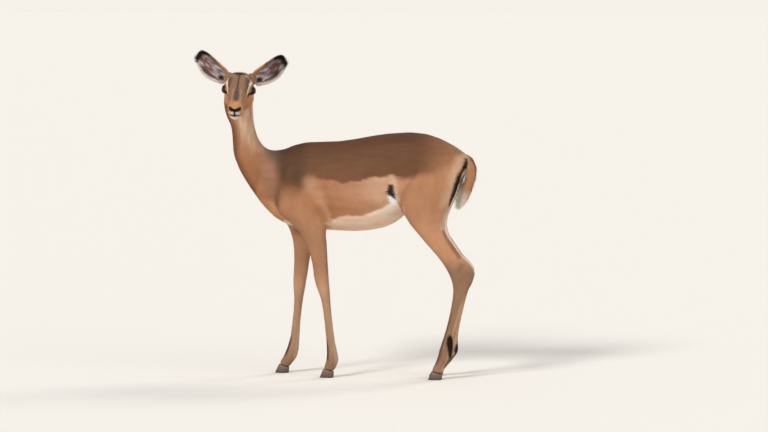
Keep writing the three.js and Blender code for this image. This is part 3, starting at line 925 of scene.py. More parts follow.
GLANDS = (
    # The black tufts over the glands of the hind fetlocks.
    Paint(((367, 64, 150, 10), (369, 64, 132, 14), (371, 62, 112, 12)), 0x17161A, 1.0, 0.12, sides=(1,)),
    Paint(((366, 64, 134, 10), (368, 64, 116, 14), (370, 62, 96, 12)), 0x17161A, 1.0, 0.12, sides=(-1,)),
    Paint(((394, 60, 112, 9), (386, 60, 96, 13), (376, 60, 84, 8)), 0x1D1919, 1.0, 0.25, deep=0.45),
)

HEAD_PAINT = (
    # The dark brow, painted shade on the side of the nose below it, a painted highlight beside the bridge of
    # the nose, and darker brown down the muzzle's side, which is partly painted shade.
    Paint(((0, 30, 40, 8), (14, 33, 34, 8.5), (30, 31, 24, 6)), Tint.BROW, 0.75, 0.85, Frame.HEAD),
    Paint(((30, 28, 22, 5), (52, 25, 12, 5)), 0x6A5042, 0.5, 0.9, Frame.HEAD),
    Paint(((62, 15, 25, 5), (84, 16, 17, 5), (108, 17, 8, 5)), 0xC9976E, 0.4, 0.9, Frame.HEAD),
    Paint(((66, 27, -10, 9), (108, 24, -20, 8)), 0x8E6043, 0.55, 0.8, Frame.HEAD),
    # The greyish roots of the ears and the shaded upper lid.
    Paint(((-45, 38, 46, 12), (-43, 48, 30, 12)), 0x75594A, 0.85, 0.6, Frame.HEAD),
    Paint(((-6, 52, 22, 3.5), (8, 50, 17, 3.5), (20, 45, 10, 3)), 0x5F473A, 0.65, 0.8, Frame.HEAD),
    # The pale rim over the brow, the white arc from the ear to the front of the eye, and the pale lower lid.
    Paint(((-20, 45, 36, 4), (-19, 36, 44, 4), (-14, 25, 50, 3)), 0xB39C8B, 0.75, 0.6, Frame.HEAD),
    Paint(
        (
            (-26, 47, 30, 4.5), (-8, 47, 30, 5), (8, 43, 27, 5), (20, 38, 21, 4.5), (32, 33, 13, 4),
            (46, 30, 3, 2.5),
        ),
        0xDDD3CA, 1.0, 0.45, Frame.HEAD,
    ),
    Paint(((24, 42, -14, 5), (4, 50, -20, 5.5), (-16, 50, -14, 4)), 0xCDB29C, 0.7, 0.6, Frame.HEAD),
    # The dark gland before the eye.
    Paint(((20, 43, -4, 6), (36, 36, -6, 6)), Tint.DARK, 0.95, 0.45, Frame.HEAD),
    # The line down the forehead, and the grey bridge of the nose.
    Paint(((-14, 0, 54, 3), (56, 0, 32, 3)), 0x4A382F, 0.65, 0.7, Frame.HEAD),
    Paint(
        ((58, 0, 28, 4), (76, 0, 22, 7.5), (94, 0, 16, 9), (110, 0, 10, 8)),
        Tint.BRIDGE, 0.7, 0.9, Frame.HEAD,
    ),
    # The thin dark lines from the crown to the ears.
    Paint(
        ((-35, 20, 50, 3), (-30, 34, 44, 3.5), (-28, 45, 34, 4), (-20, 48, 20, 3)),
        Tint.DARK, 0.65, 0.7, Frame.HEAD,
    ),
    # The tan ring behind the nose, the white lips and chin, and the pale throat.
    Paint(((130, 0, 2, 6), (129, 12, -1, 6), (124, 22, -10, 6)), 0xB98A66, 0.85, 0.6, Frame.HEAD),
    Paint(((148, 6, -27, 5.5), (142, 13, -28, 5.5)), 0xC6BDB7, 0.95, 0.5, Frame.HEAD),
    Paint(((143, 0, -50, 8.5), (136, 12, -47, 7.5), (120, 18, -45, 6)), 0xE2DBD4, 1.0, 0.4, Frame.HEAD),
    Paint(((132, 8, -54, 9), (108, 10, -57, 9)), 0xE2DBD4, 1.0, 0.4, Frame.HEAD),
    # The black nose with a wing along each nostril, and the groove of the lip.
    Paint(
        ((149, 0, -17, 5.5), (147, 8, -14.5, 6), (142, 15, -12, 6), (138, 20, -10.5, 5)),
        Tint.BLACK, 1.0, 0.25, Frame.HEAD,
    ),
    Paint(((149, 0, -18, 5.5), (149, 0, -26, 3), (148, 0, -36, 3.5)), Tint.BLACK, 1.0, 0.2, Frame.HEAD),
    Paint(((148, 0, -38, 4), (147, 4, -38, 3)), 0x3B2F2D, 0.85, 0.6, Frame.HEAD),
)


class Spots:
    """Places on the coat in the body's frame, with what the markings need to know of each."""

    def __init__(self, points: np.ndarray, facing: np.ndarray) -> None:
        """Reads points in metres and the outward direction at each.

        Args:
            points: places on the skin, in metres.
            facing: the outward direction at each.
        """
        self.body = PLACES.body(points)
        self.along, self.up = self.body[:, 0], self.body[:, 2]
        self.outward = facing[:, 1] * np.sign(self.body[:, 1])
        self.rearward = facing[:, 0]
        self.rough = ripple(self.body, 26, 3)
        self.fine = ripple(self.body, 9, 4)
        self.edge = 4 * self.rough + 2.5 * self.fine


class Markings:
    """The colours of the coat at any place, shared by the skin and the hair."""

    def __init__(self, skin: Skin) -> None:
        """Lays every painted line onto the skin.

        Args:
            skin: the finished skin.
        """
        self.body_lines = [line for paint in BODY_PAINT for line in self.laid(paint, skin)]
        self.gland_lines = [line for paint in GLANDS for line in self.laid(paint, skin)]
        self.head_lines = [line for paint in HEAD_PAINT for line in self.laid(paint, skin)]

    def laid(self, paint: Paint, skin: Skin) -> list[tuple[Paint, np.ndarray]]:
        """A painted line for each of its sides, with its path moved onto the skin.

        Args:
            paint: the line as it is listed.
            skin: the finished skin.

        Returns:
            One line for each side, with its path in the line's own frame.
        """
        lines = []
        for side in paint.sides:
            path = np.array(paint.path, float)
            if paint.within is Frame.HEAD:
                places, _ = skin.nearest(PLACES.from_head(path[:, :3] * [1, side, 1]))
                path[:, :3] = PLACES.head(places)
            else:
                path[:, :3] = PLACES.body(skin.beside(PLACES.from_body(path[:, :3] * [1, -side, 1])))
            lines.append((paint, path))
        return lines

    def mask(self, line: tuple[Paint, np.ndarray], points: np.ndarray) -> np.ndarray:
        """How far a painted line covers each point, in the line's own frame.

        Args:
            line: a line laid on the skin.
            points: places in the line's frame, in millimetres.

        Returns:
            A share from 0 to 1 for each point.
        """
        paint, path = line
        ratio = np.full(len(points), np.inf)
        for start, end in zip(path[:-1], path[1:]):
            along = end[:3] - start[:3]
            share = np.clip((points - start[:3]) @ along / (along @ along), 0, 1)
            away = np.linalg.norm((points - start[:3] - share[:, None] * along) * [1, paint.deep, 1], axis=1)
            ratio = np.minimum(ratio, away / (start[3] + share * (end[3] - start[3])))
        return paint.strength * ramp(ratio, 1 + paint.softness, 1 - paint.softness)

    def painted(
        self, colour: np.ndarray, lines: list[tuple[Paint, np.ndarray]], points: np.ndarray
    ) -> np.ndarray:
        """The colours with painted lines laid over them in turn.

        Args:
            colour: the linear colours below.
            lines: the lines to lay over them.
            points: the colours' places, in the lines' frame.

        Returns:
            The new linear colours.
        """
        for line in lines:
            colour = mix(colour, line[0].colour, self.mask(line, points))
        return colour

    def glands(self, body: np.ndarray) -> np.ndarray:
        """1 on the tufts over the glands, for points in the body's frame."""
        return np.max([self.mask(line, body) for line in self.gland_lines], axis=0)

    def trunk(self, at: Spots) -> np.ndarray:
        """Colours of the trunk: pale brown flanks under a dark saddle, and a white belly.

        Args:
            at: the places.

        Returns:
            A linear colour for each.
        """
        along, up, edge = at.along, at.up, at.edge
        colour = graded(
            along, (-300, 0xA87353), (-200, 0xB07C5B), (-60, 0xAC7858), (0, 0xB38265), (60, 0xBC8E70),
            (110, 0xC9A084), (165, 0xC49A7C), (200, 0xBC8A68), (330, 0xC2906C), (400, 0xC59E80),
        )
        colour = mix(colour, Tint.ORANGE, 0.55 * ramp(up, 650, 605) * ramp(along, 150, 90))
        colour = mix(colour, 0xC9926A, ramp(up, 640, 585) * ramp(along, -110, -170))
        belly_edge = bent(
            along, (-270, 540), (-229, 553), (-158, 536), (-100, 530), (-75, 548), (-59, 555), (-20, 572),
            (48, 577), (79, 582), (138, 605), (150, 618), (165, 628), (200, 600), (260, 590),
        )
        white = ramp(belly_edge - up + 0.6 * edge, -4, 7)
        return mix(colour, graded(up, (540, 0xFFD2B4), (600, Tint.BELLY)), white)

    def saddle(self, colour: np.ndarray, at: Spots) -> np.ndarray:
        """The dark saddle laid over the back, sharp along the flank and soft over the shoulder and haunch.

        Args:
            colour: the linear colours below.
            at: the places.

        Returns:
            The new linear colours.
        """
        along, up = at.along, at.up
        edge_line = bent(
            along, (-350, 900), (-330, 850), (-297, 792), (-262, 738), (-215, 664), (-163, 658), (-116, 700),
            (-91, 697), (-37, 690), (-2, 688), (48, 693), (79, 701), (130, 711), (158, 718), (170, 712),
            (182, 702), (217, 709), (257, 717), (316, 729), (355, 752), (382, 772), (414, 795), (430, 814),
        )
        softness = bent(
            along, (-300, 70), (-215, 95), (-163, 64), (-110, 28), (-60, 14), (120, 14), (170, 17), (220, 30),
            (316, 40), (400, 40),
        )
        mask = ramp((up - edge_line + at.edge) / softness, -0.5, 0.5) * ramp(along, -352, -318)
        back = graded(up, (690, Tint.SADDLE), (750, 0x6D4B36), (815, Tint.SPINE))
        back = mix(back, 0x523A2D, 0.8 * ramp(along, -110, -190))
        back = mix(back, Tint.RUMP, 0.85 * ramp(along, 230, 370))
        return mix(colour, back, mask)

    def flank_spot(self, colour: np.ndarray, at: Spots) -> np.ndarray:
        """The dark spot in the fold of each flank, with white below it.

        Args:
            colour: the linear colours below.
            at: the places.

        Returns:
            The new linear colours.
        """
        flank = ramp(at.outward, -0.2, 0.2)
        ahead, above = at.along - 158 - 0.19 * (656 - at.up), at.up - 656
        pale = np.hypot(ahead / 15, (above + 22) / 24)
        colour = mix(colour, 0xF2EEEF, ramp(pale + 0.05 * at.fine, 1.2, 0.8) * flank)
        depth = np.minimum(9 - ahead, ahead + 15 - 0.55 * np.maximum(above, 0))
        depth = np.minimum(depth, ahead + 15 - 1.14 * np.maximum(-3 - above, 0))
        depth = np.minimum(depth, 26 - above)
        grey = mix(np.tile(linear(0x2E2122), (len(ahead), 1)), 0x7A6C70, ramp(ahead + above, -8, -22))
        return mix(colour, grey, ramp(depth + 2.5 + 0.4 * at.fine, -2, 2) * flank)

    def neck(self, at: Spots) -> np.ndarray:
        """Colours of the neck: orange-brown, darkened on its front by painted shade, and paler behind.

        Args:
            at: the places.

        Returns:
            A linear colour for each.
        """
        pale = ramp(at.rearward, -0.6, 0.45) * ramp(at.up, 740, 900)
        streaks = ripple(at.body * [1, 1, 0.16], 9, 6)
        colour = np.tile(linear(Tint.NECK), (len(at.up), 1))
        # Painted shade on the neck's front.
        colour = mix(colour, 0x7C5139, 0.85 * ramp(at.rearward, -0.12, -0.8))
        return mix(colour, Tint.NECK_PALE, pale * (0.85 + 0.3 * streaks))

    def fore_leg(self, at: Spots) -> np.ndarray:
        """Colours of a foreleg: tan, paler at the wrist, with a dark line down the front of the foot.

        Args:
            at: the places.

        Returns:
            A linear colour for each.
        """
        colour = graded(
            at.up, (0, 0x8C6A55), (60, 0x96725A), (130, 0xA58268), (270, 0xAE896C), (310, 0xBC9474),
            (355, 0xAE8364), (400, 0xA57A5D), (450, 0xAC7F60), (520, 0xAF8061), (600, 0xAD7B5A),
        )
        front = ramp(at.rearward, -0.2, -0.7) * ramp(at.up, 55, 75) * ramp(at.up, 150, 115)
        colour = mix(colour, 0x33261F, 0.85 * front)
        heel = ramp(at.rearward, 0.3, 0.8) * ramp(at.up, 30, 60) * ramp(at.up, 300, 120)
        colour = mix(colour, Tint.CREAM, 0.45 * heel)
        inner = ramp(at.outward, -0.2, -0.7) * ramp(at.up, 500, 580)
        return mix(colour, Tint.BELLY, inner)

    def hind_leg(self, at: Spots) -> np.ndarray:
        """Colours of a hind leg: tan, darker from the hock down, which is partly painted shade, white inside
        and down the rear edge, dark before the fetlock.

        Args:
            at: the places.

        Returns:
            A linear colour for each.
        """
        # The browns darken from the hock down: partly the coat's own colour and partly painted shade.
        colour = graded(
            at.up, (0, 0x8E6D5B), (60, 0x92705D), (140, 0x8F6E59), (300, 0x94725A), (380, 0x8D6B55),
            (440, 0xBD8C68), (520, 0xBC8B68), (600, 0xAE7E5F), (680, 0xAD7C5B),
        )
        inner = ramp(at.outward, -0.1, -0.5) * ramp(at.up, 330, 430)
        colour = mix(colour, Tint.BELLY, inner)
        rim = ramp(at.rearward, 0.55, 0.9) * ramp(at.up, 330, 430) * ramp(at.up, 640, 560)
        colour = mix(colour, Tint.WHITE, 0.4 * rim)
        front = ramp(at.rearward, -0.15, -0.7) * ramp(at.up, 45, 70) * ramp(at.up, 340, 130)
        colour = mix(colour, 0x4E3C33, 0.75 * front)
        heel = ramp(at.rearward, 0.2, 0.7) * ramp(at.up, 22, 40) * ramp(at.up, 340, 240)
        return mix(colour, 0xDDB086, 0.6 * heel)

    def behind_stripe(self, at: Spots) -> np.ndarray:
        """How far each place lies behind the middle of the buttock's stripe, in millimetres."""
        return at.along - bent(at.up, *((up, along) for along, _, up, _ in reversed(STRIPE)))

    def fringe(self, at: Spots) -> np.ndarray:
        """1 on the white fringe behind each buttock's black stripe."""
        behind = ramp(self.behind_stripe(at), 7, 14) * ramp(at.rearward, 0.2, 0.6)
        return behind * ramp(at.up, 590, 630) * ramp(at.up, 730, 705)

    def rump(self, colour: np.ndarray, at: Spots) -> np.ndarray:
        """The buttocks: pale ahead of the black stripe's line and white behind it.

        Args:
            colour: the linear colours below.
            at: the places.

        Returns:
            The new linear colours.
        """
        outer = ramp(at.outward, -0.35, 0.1)
        away = self.behind_stripe(at) + 0.5 * at.edge
        tall = ramp(at.up, 590, 640) * ramp(at.up, 800, 772)
        colour = mix(colour, 0xC9A78A, ramp(away, -52, -8) * tall * 0.8 * outer)
        return mix(colour, Tint.FRINGE, ramp(away, 4, 9) * ramp(at.up, 540, 600) * ramp(at.up, 800, 780))

    def tail(self, at: Spots) -> np.ndarray:
        """Colours of the tail: tan above, with a dark middle line and a white fringe.

        Args:
            at: the places.

        Returns:
            A linear colour for each.
        """
        middle = bent(at.up, (600, -12), (652, -11), (708, -6), (792, 0))
        across = np.abs(at.body[:, 1] - middle)
        colour = np.tile(linear(Tint.FRINGE), (len(at.up), 1))
        tan = ramp(at.rearward, -0.3, 0.2) * ramp(at.up + 6 * at.fine, 640, 690)
        colour = mix(colour, 0xCF9668, tan)
        under = ramp(at.rearward, 0.0, -0.4) * ramp(at.up, 665, 705)
        colour = mix(colour, 0x352A25, 0.75 * under)
        middle = ramp(across, 3, 1) * ramp(at.rearward, 0.4, 0.8) * ramp(at.up, 625, 660)
        return mix(colour, 0x2E231D, 0.85 * middle)

    def head(self, head: np.ndarray, facing: np.ndarray) -> np.ndarray:
        """Colours of the head and jaw, for points and outward directions in the head's frame.

        Args:
            head: places in the head's frame.
            facing: the outward direction at each, in the same frame.

        Returns:
            A linear colour for each.
        """
        ahead, aside, up = head[:, 0], np.abs(head[:, 1]), head[:, 2]
        fine = ripple(head, 7, 8)
        upward = facing[:, 2]
        colour = np.tile(linear(Tint.CHEEK), (len(head), 1))
        top = ramp(upward, 0.05, 0.55)
        colour = mix(colour, Tint.FACE, top * ramp(aside, 44, 32) * ramp(ahead, 122, 96))
        under = ramp(up - PLACES.mouth_height(ahead), -40, -54)
        colour = mix(colour, Tint.CREAM, 0.75 * under)
        colour = mix(colour, 0xCFA67E, 0.8 * ramp(ahead, -32, -38) * ramp(upward, -0.3, 0.3))
        colour = self.painted(colour, self.head_lines, head)
        lower = -13 - 15 * (aside / 25) ** 2
        crown = ramp(ahead, -34, -30) * ramp(ahead - lower + 2 * fine, 2, -2) * ramp(aside, 29, 24)
        colour = mix(colour, Tint.BLACK, crown * ramp(upward, 0, 0.3))
        line = PLACES.off_mouth(ahead, up)
        lips = 0.45 * ramp(ahead, 95, 120) + 0.55 * ramp(ahead, 137, 145)
        colour = mix(colour, Tint.DARK, ramp(line, 2.8, 1.3) * lips)
        for socket in SOCKETS.values():
            colour = mix(colour, Tint.BLACK, ramp(socket.inside(head), -0.42, -0.18))
        return colour * (1 + 0.04 * fine)[:, None]

    def ear(self, head: np.ndarray, side: int) -> np.ndarray:
        """Colours of one ear: tan behind, pale and lined inside, cream along its edges, black at the tip.

        Args:
            head: places in the head's frame.
            side: 1 for the left ear and -1 for the right one.

        Returns:
            A linear colour for each.
        """
        share, across, height = PLACES.ear(head, side)
        fine, coarse = ripple(head, 3.5, 11), ripple(head, 8, 12)
        lining = np.tile(linear(Tint.EAR_LINING), (len(head), 1))
        core = np.hypot((share - 0.6) / 0.3, across / 0.55) + 0.3 * coarse
        lining = mix(lining, Tint.EAR_CORE, 0.85 * ramp(core, 1.15, 0.6))
        streaks = ripple(np.stack([share * 60, across * 34, height], 1), 6, 13)
        lining = mix(lining, 0x4F3831, 0.6 * ramp(streaks, 0.15, 0.95))
        lining = mix(lining, 0xD9D0D2, 0.6 * ramp(-streaks + 0.4 * fine, 0.35, 1.0))
        lining = mix(lining, Tint.EAR_DARK, 0.45 * ramp(np.sin(across * 8 + 3 * coarse), 0.75, 1.0))
        lower_band = np.hypot((share - 0.42) / 0.26, (across - 0.6) / 0.2) + 0.12 * fine
        lining = mix(lining, Tint.EAR_DARK, 0.85 * ramp(lower_band, 1.15, 0.75))
        lining = mix(lining, Tint.EAR_DARK, 0.75 * ramp(across, -0.66, -0.8) * ramp(share, 0.75, 0.6))
        # Painted shade where the ear's canal opens near its root.
        canal_shade = np.hypot((share - 0.11) / 0.08, (across - 0.25) / 0.35)
        lining = mix(lining, Tint.BLACK, 0.95 * ramp(canal_shade, 1.2, 0.7))
        cup = 17 * np.clip(1 - share, 0, 1) ** 1.2 + 7 * np.sin(np.pi * np.clip(share, 0, 1))
        sheet = cup * (across**2 - 0.5)
        colour = np.tile(linear(Tint.EAR_BACK), (len(head), 1))
        colour = mix(colour, lining, ramp(height - sheet, -3.4, -1.6))
        colour = mix(colour, 0xDFD0C2, ramp(across + 0.03 * fine, 0.86, 0.94))
        upper_rim = ramp(across, -0.8, -0.92)
        colour = mix(colour, 0x7A5C49, upper_rim)
        colour = mix(colour, 0xC68A56, upper_rim * ramp(share, 0.5, 0.32))
        root = ramp(share, 0.15, 0.03) * ramp(head[:, 0], -46, -30)
        colour = mix(colour, 0x7D6656, 0.85 * root)
        tip = share + 0.1 * ramp(across, -0.4, -0.95) + 0.02 * fine
        return mix(colour, Tint.BLACK, ramp(tip, 0.77, 0.82))

    def colours(self, points: np.ndarray, facing: np.ndarray, shares: np.ndarray) -> np.ndarray:
        """The coat's colours.

        Args:
            points: places on the skin, in metres.
            facing: the outward direction at each.
            shares: for each, how far it belongs to every one of the parts, in the order of Part.

        Returns:
            A linear colour for each.
        """
        at = Spots(points, facing)
        head = PLACES.head(points)
        colour = self.neck(at)
        layers = {
            Part.TRUNK: self.trunk(at), Part.FORE_LEG: self.fore_leg(at), Part.HIND_LEG: self.hind_leg(at)
        }
        for part, layer in layers.items():
            colour = mix(colour, layer, shares[:, part.value])
        colour = self.rump(self.saddle(colour, at), at)
        colour = self.flank_spot(self.painted(colour, self.body_lines, at.body), at)
        colour = self.painted(colour, self.gland_lines, at.body)
        flowing = shares[:, Part.TRUNK.value] * ripple(at.body * [0.22, 1, 1], 13, 21)
        hanging = (1 - shares[:, Part.TRUNK.value]) * ripple(at.body * [1, 1, 0.22], 11, 22)
        colour = colour * (1 + 0.04 * at.rough + 0.02 * at.fine + 0.035 * (flowing + hanging))[:, None]
        layers = {
            Part.TAIL: self.tail(at), Part.HEAD: self.head(head, facing @ PLACES.head_axes),
            Part.EAR_LEFT: self.ear(head, 1), Part.EAR_RIGHT: self.ear(head, -1),
        }
        for part, layer in layers.items():
            colour = mix(colour, layer, shares[:, part.value])
        return np.clip(colour, 0.002, 0.95)


# ---- Coat ------------------------------------------------------------------------------------------


def way_of(skin: Skin, normals: np.ndarray) -> np.ndarray:
    """The lie of the hair at every point of the skin, evened out where regions meet.

    Args:
        skin: the finished skin.
        normals: its outward directions.

    Returns:
        A unit vector along the skin for each point.
    """
    ways = np.array([hair_of(name).way for name in FLESH])[skin.nodes]
    heads = np.isin(skin.nodes, [FLESH.index("head"), FLESH.index("lower_jaw")])
    ways[heads] = ways[heads] @ PLACES.head_axes.T
    for side, name in EARS:
        ways[skin.nodes == FLESH.index(name)] = PLACES.head_axes @ PLACES.ear_axes(side)[0]
    ways = skin.surface.spread(unit(ways), 45)
    for side, name in EARS:
        share, across, _ = PLACES.ear(PLACES.head(skin.surface.points), side)
        turn = 1.1 * ramp(share, 0.7, 0.92) * np.clip(across, -0.3, 1) * (skin.nodes == FLESH.index(name))
        ways += turn[:, None] * (PLACES.head_axes @ PLACES.ear_axes(side)[1])
    return unit(ways - np.sum(ways * normals, 1, keepdims=True) * normals)


@dataclass
class CoatPiece:
    """The hair over some of the flesh nodes, as one mesh of closed tufts."""

    name: str
    nodes: tuple[str, ...]
    side: int = 0  # 1 keeps the left half of the nodes, -1 the right half and 0 both
    stretch: tuple[float, float] = (-math.inf, math.inf)  # kept along the body, in millimetres
    seed: int = 1

    def unwrap(self, points: np.ndarray, nodes: np.ndarray) -> np.ndarray:
        """Places on a flat map of the skin: each node is rolled off round its own long axis into a strip.

        Args:
            points: places on the skin, in metres.
            nodes: the index in FLESH of the node at each.

        Returns:
            Two numbers from 0 to 1 for each place.
        """
        flat = np.zeros((len(points), 2))
        for slot, name in enumerate(self.nodes):
            inside = nodes == FLESH.index(name)
            if not inside.any():
                continue
            corners = Surface(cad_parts[name]).points
            middle = corners.mean(0)
            axes = np.linalg.svd(corners - middle, full_matrices=False)[2]
            local = (points[inside] - middle) @ axes.T
            ends = (corners - middle) @ axes[0]
            turn = np.arctan2(local[:, 2], local[:, 1]) / math.tau + 0.5
            share = np.clip((local[:, 0] - ends.min()) / np.ptp(ends), 0, 1)
            flat[inside] = np.stack([(slot + 0.02 + 0.96 * turn) / len(self.nodes), 0.01 + 0.98 * share], 1)
        return flat


TRUNK_MIDDLE = 60.0  # where the trunk's coat is parted into its front and rear pieces

COAT_PIECES = (
    CoatPiece("coat_head", ("head", "lower_jaw"), seed=11),
    CoatPiece("coat_ear_left", ("ear_left",), seed=12),
    CoatPiece("coat_ear_right", ("ear_right",), seed=13),
    CoatPiece("coat_neck_left", ("neck",), side=1, seed=14),
    CoatPiece("coat_neck_right", ("neck",), side=-1, seed=15),
    CoatPiece("coat_shoulder_left", ("trunk",), side=1, stretch=(-math.inf, TRUNK_MIDDLE), seed=16),
    CoatPiece("coat_shoulder_right", ("trunk",), side=-1, stretch=(-math.inf, TRUNK_MIDDLE), seed=17),
    CoatPiece("coat_loin_left", ("trunk",), side=1, stretch=(TRUNK_MIDDLE, math.inf), seed=18),
    CoatPiece("coat_loin_right", ("trunk",), side=-1, stretch=(TRUNK_MIDDLE, math.inf), seed=19),
    CoatPiece("coat_tail", ("tail",), seed=20),
    *(
        CoatPiece(f"coat_{leg}", tuple(f"{leg}_{segment}" for segment in segments), seed=21 + index)
        for index, (leg, segments) in enumerate(LEGS)
    ),
)


QUALITIES = ("length", "width", "depth", "cover", "stray", "loose")  # the columns of the coat's sizes
LENGTH, WIDTH, DEPTH, COVER, STRAY, LOOSE = range(len(QUALITIES))


@dataclass
class Coat:
    """Tufts of hair over the skin, each one a thin closed spike that lies along the body."""

    skin: Skin
    markings: Markings
    patch: float = 0.003  # the size of one tuft on the flat map
    root_depth: float = 0.3  # how far a root is sunk in the skin, in millimetres
    most: int = 38_500  # tufts in one piece
    crest_at: float = 0.25  # where a tuft is thickest, as a share of its length
    crest: float = 0.18  # how high it stands there, as a share of its width
    free_from: float = 0.05  # the looseness from which a tuft hangs free of the skin
    uneven: float = 0.045  # how far the tufts differ in brightness
    corner_shade: tuple[float, float, float, float] = (0.92, 0.92, 1.0, 1.05)  # two roots, crest and tip
    rounding: float = 0.45  # how far a tuft's edges are shaded as if it were round
    turn_out: float = 1.3  # how far a free tuft is shaded as if it faced away from the animal's middle

    def prepare(self) -> None:
        """Reads from the skin what every piece needs."""
        surface = self.skin.surface
        self.normals = surface.normals()
        self.ways = way_of(self.skin, self.normals)
        self.shares = shares_of(self.skin)
        self.sizes = np.stack([surface.spread(self.skin.field_of(name), 12) for name in QUALITIES], 1)
        gland = self.markings.glands(PLACES.body(surface.points))[:, None]
        self.sizes *= 1 + gland * [1.2, 0.4, 2.2, 0.8, 1.0, 0.0]
        head = PLACES.head(surface.points)
        muzzle = (ramp(head[:, 0], 70, 125) * self.shares[:, Part.HEAD.value])[:, None]
        self.sizes *= 1 - muzzle * [0.5, 0.3, 0.45, 0.0, 0.0, 0.0]
        at = Spots(surface.points, self.normals)
        tail_root = (ramp(at.up, 690, 770) * self.shares[:, Part.TAIL.value])[:, None]
        self.sizes *= 1 - tail_root * [0.65, 0.3, 0.4, 0.0, 0.0, 0.0]
        fringe = self.markings.fringe(at) * (1 - self.shares[:, Part.TAIL.value])
        self.sizes *= 1 + fringe[:, None] * [0.9, 0.2, 1.0, 1.6, 1.0, 0.0]
        self.sizes[:, LOOSE] += 0.4 * fringe
        tail_end = (ramp(at.up, 660, 605) * self.shares[:, Part.TAIL.value])[:, None]
        self.sizes *= 1 - tail_end * [0.35, 0.0, 0.3, 0.0, 0.0, 0.0]
        self.sizes[:, LOOSE] += 0.45 * ramp(at.rearward, -0.2, -0.7) * self.shares[:, Part.TAIL.value]
        for part, side in ((Part.EAR_LEFT, 1), (Part.EAR_RIGHT, -1)):
            share, across, _ = PLACES.ear(head, side)
            tip = ramp(share, 0.76, 0.86) * self.shares[:, part.value]
            corner = ramp(share, 0.9, 1) * ramp(across, 0.6, 0)
            self.sizes[:, LENGTH] *= 1 + tip * (0.6 * ramp(across, 0, 0.8) - 0.35 * corner)
            self.sizes[:, LOOSE] += 0.45 * ramp(np.abs(across), 0.7, 0.98) * self.shares[:, part.value]
        corners = surface.points[surface.triangles]
        self.areas = np.linalg.norm(
            np.cross(corners[:, 1] - corners[:, 0], corners[:, 2] - corners[:, 0]), axis=1
        ) / 2 / MM**2
        self.bare = self.bare_places()
        self.face_nodes = self.skin.nodes[surface.triangles[:, 0]]

    def bare_places(self) -> np.ndarray:
        """Where no hair grows: the eyes' openings, the nose and the nostrils.

        Returns:
            A share from 0 to 1 for each point of the skin.
        """
        head = PLACES.head(self.skin.surface.points)
        bare = np.zeros(len(head))
        for socket in SOCKETS.values():
            bare = np.maximum(bare, ramp(socket.inside(head), -0.12, -0.06))
        nose = ramp(head[:, 0] - 0.35 * (head[:, 2] + 10), 133, 136) * ramp(head[:, 2], -21, -17)
        return np.maximum(bare, nose * self.shares[:, Part.HEAD.value])

    def grow(self, piece: CoatPiece) -> bpy.types.Object:
        """One piece of the coat.

        Args:
            piece: which hair to grow.

        Returns:
            The coat piece's object.
        """
        surface = self.skin.surface
        rng = np.random.default_rng(piece.seed)
        wanted = np.isin(self.face_nodes, [FLESH.index(name) for name in piece.nodes])
        if piece.side:
            middle = PLACES.origin[1] * MM
            centre = surface.points[surface.triangles].mean(1)[:, 1]
            wanted &= (centre < middle) if piece.side == 1 else (centre >= middle)
        along = PLACES.body(surface.points)[surface.triangles].mean(1)[:, 0]
        wanted &= (along >= piece.stretch[0]) & (along < piece.stretch[1])
        corner_sizes = self.sizes[surface.triangles].mean(1)
        bare = self.bare[surface.triangles].mean(1)
        tuft_area = corner_sizes[:, LENGTH] * corner_sizes[:, WIDTH] * 0.5
        weight = self.areas * corner_sizes[:, COVER] / tuft_area * wanted * (1 - bare)
        count = int(min(weight.sum(), self.most))
        total = np.cumsum(weight)
        picks = (np.arange(count) + rng.random(count)) / count * total[-1]
        faces = np.minimum(np.searchsorted(total, picks), len(total) - 1)
        first, second = np.sqrt(rng.random(count)), rng.random(count)
        weights = np.stack([1 - first, first * (1 - second), first * second], 1)[:, :, None]

        def at(values: np.ndarray) -> np.ndarray:
            """A value of the skin at each root."""
            return (values[surface.triangles[faces]] * weights).sum(1)

        roots, facing, way, sizes = at(surface.points), unit(at(self.normals)), at(self.ways), at(self.sizes)
        shares = at(self.shares)
        nodes = self.face_nodes[faces]
        bend = sizes[:, [STRAY]] * rng.normal(0, 1, (count, 1)) + 0.12 * ripple(roots / MM, 45, 7)[:, None]
        side = np.cross(facing, way)
        way = unit(way + bend * side)
        side = unit(np.cross(facing, way))
        length = sizes[:, [LENGTH]] * MM * rng.uniform(0.7, 1.25, (count, 1))
        width = sizes[:, [WIDTH]] * MM * rng.uniform(0.75, 1.25, (count, 1))
        rise = sizes[:, [DEPTH]] * MM * rng.uniform(0.12, 0.7, (count, 1))
        feet, lifts = self.skin.nearest(roots + way * length)
        loose = sizes[:, [LOOSE]]
        hanging = roots + unit(way + loose * facing) * length
        free = loose > self.free_from
        feet, lifts = np.where(free, hanging, feet), np.where(free, facing, lifts)
        tips = feet + lifts * rise
        points = np.stack(
            [
                roots - side * width / 2 - facing * self.root_depth * MM,
                roots + side * width / 2 - facing * self.root_depth * MM,
                roots + (tips - roots) * self.crest_at + facing * width * self.crest,
                tips,
            ],
            1,
        )
        colour = self.markings.colours(roots, facing, shares) * rng.normal(1, self.uneven, (count, 1))
        shade = np.array(self.corner_shade)
        colours = np.clip(colour[:, None, :] * shade[None, :, None], 0.001, 0.95)
        flat = piece.unwrap(roots, nodes)
        offsets = np.array([[-0.5, -0.5], [0.5, -0.5], [0.0, 0.0], [0.0, 0.5]]) * self.patch
        maps = flat[:, None, :] + offsets[None]
        aside = np.sign(PLACES.body(roots)[:, 1:2] + 6) * [0.0, 1.0, 0.2]
        bulge, front = side * self.rounding, facing + self.turn_out * free * aside
        leaning = np.stack([front - bulge, front + bulge, front, front + lifts + 0.1 * way], 1)
        return self.mesh(piece.name, points, unit(leaning), colours, maps)

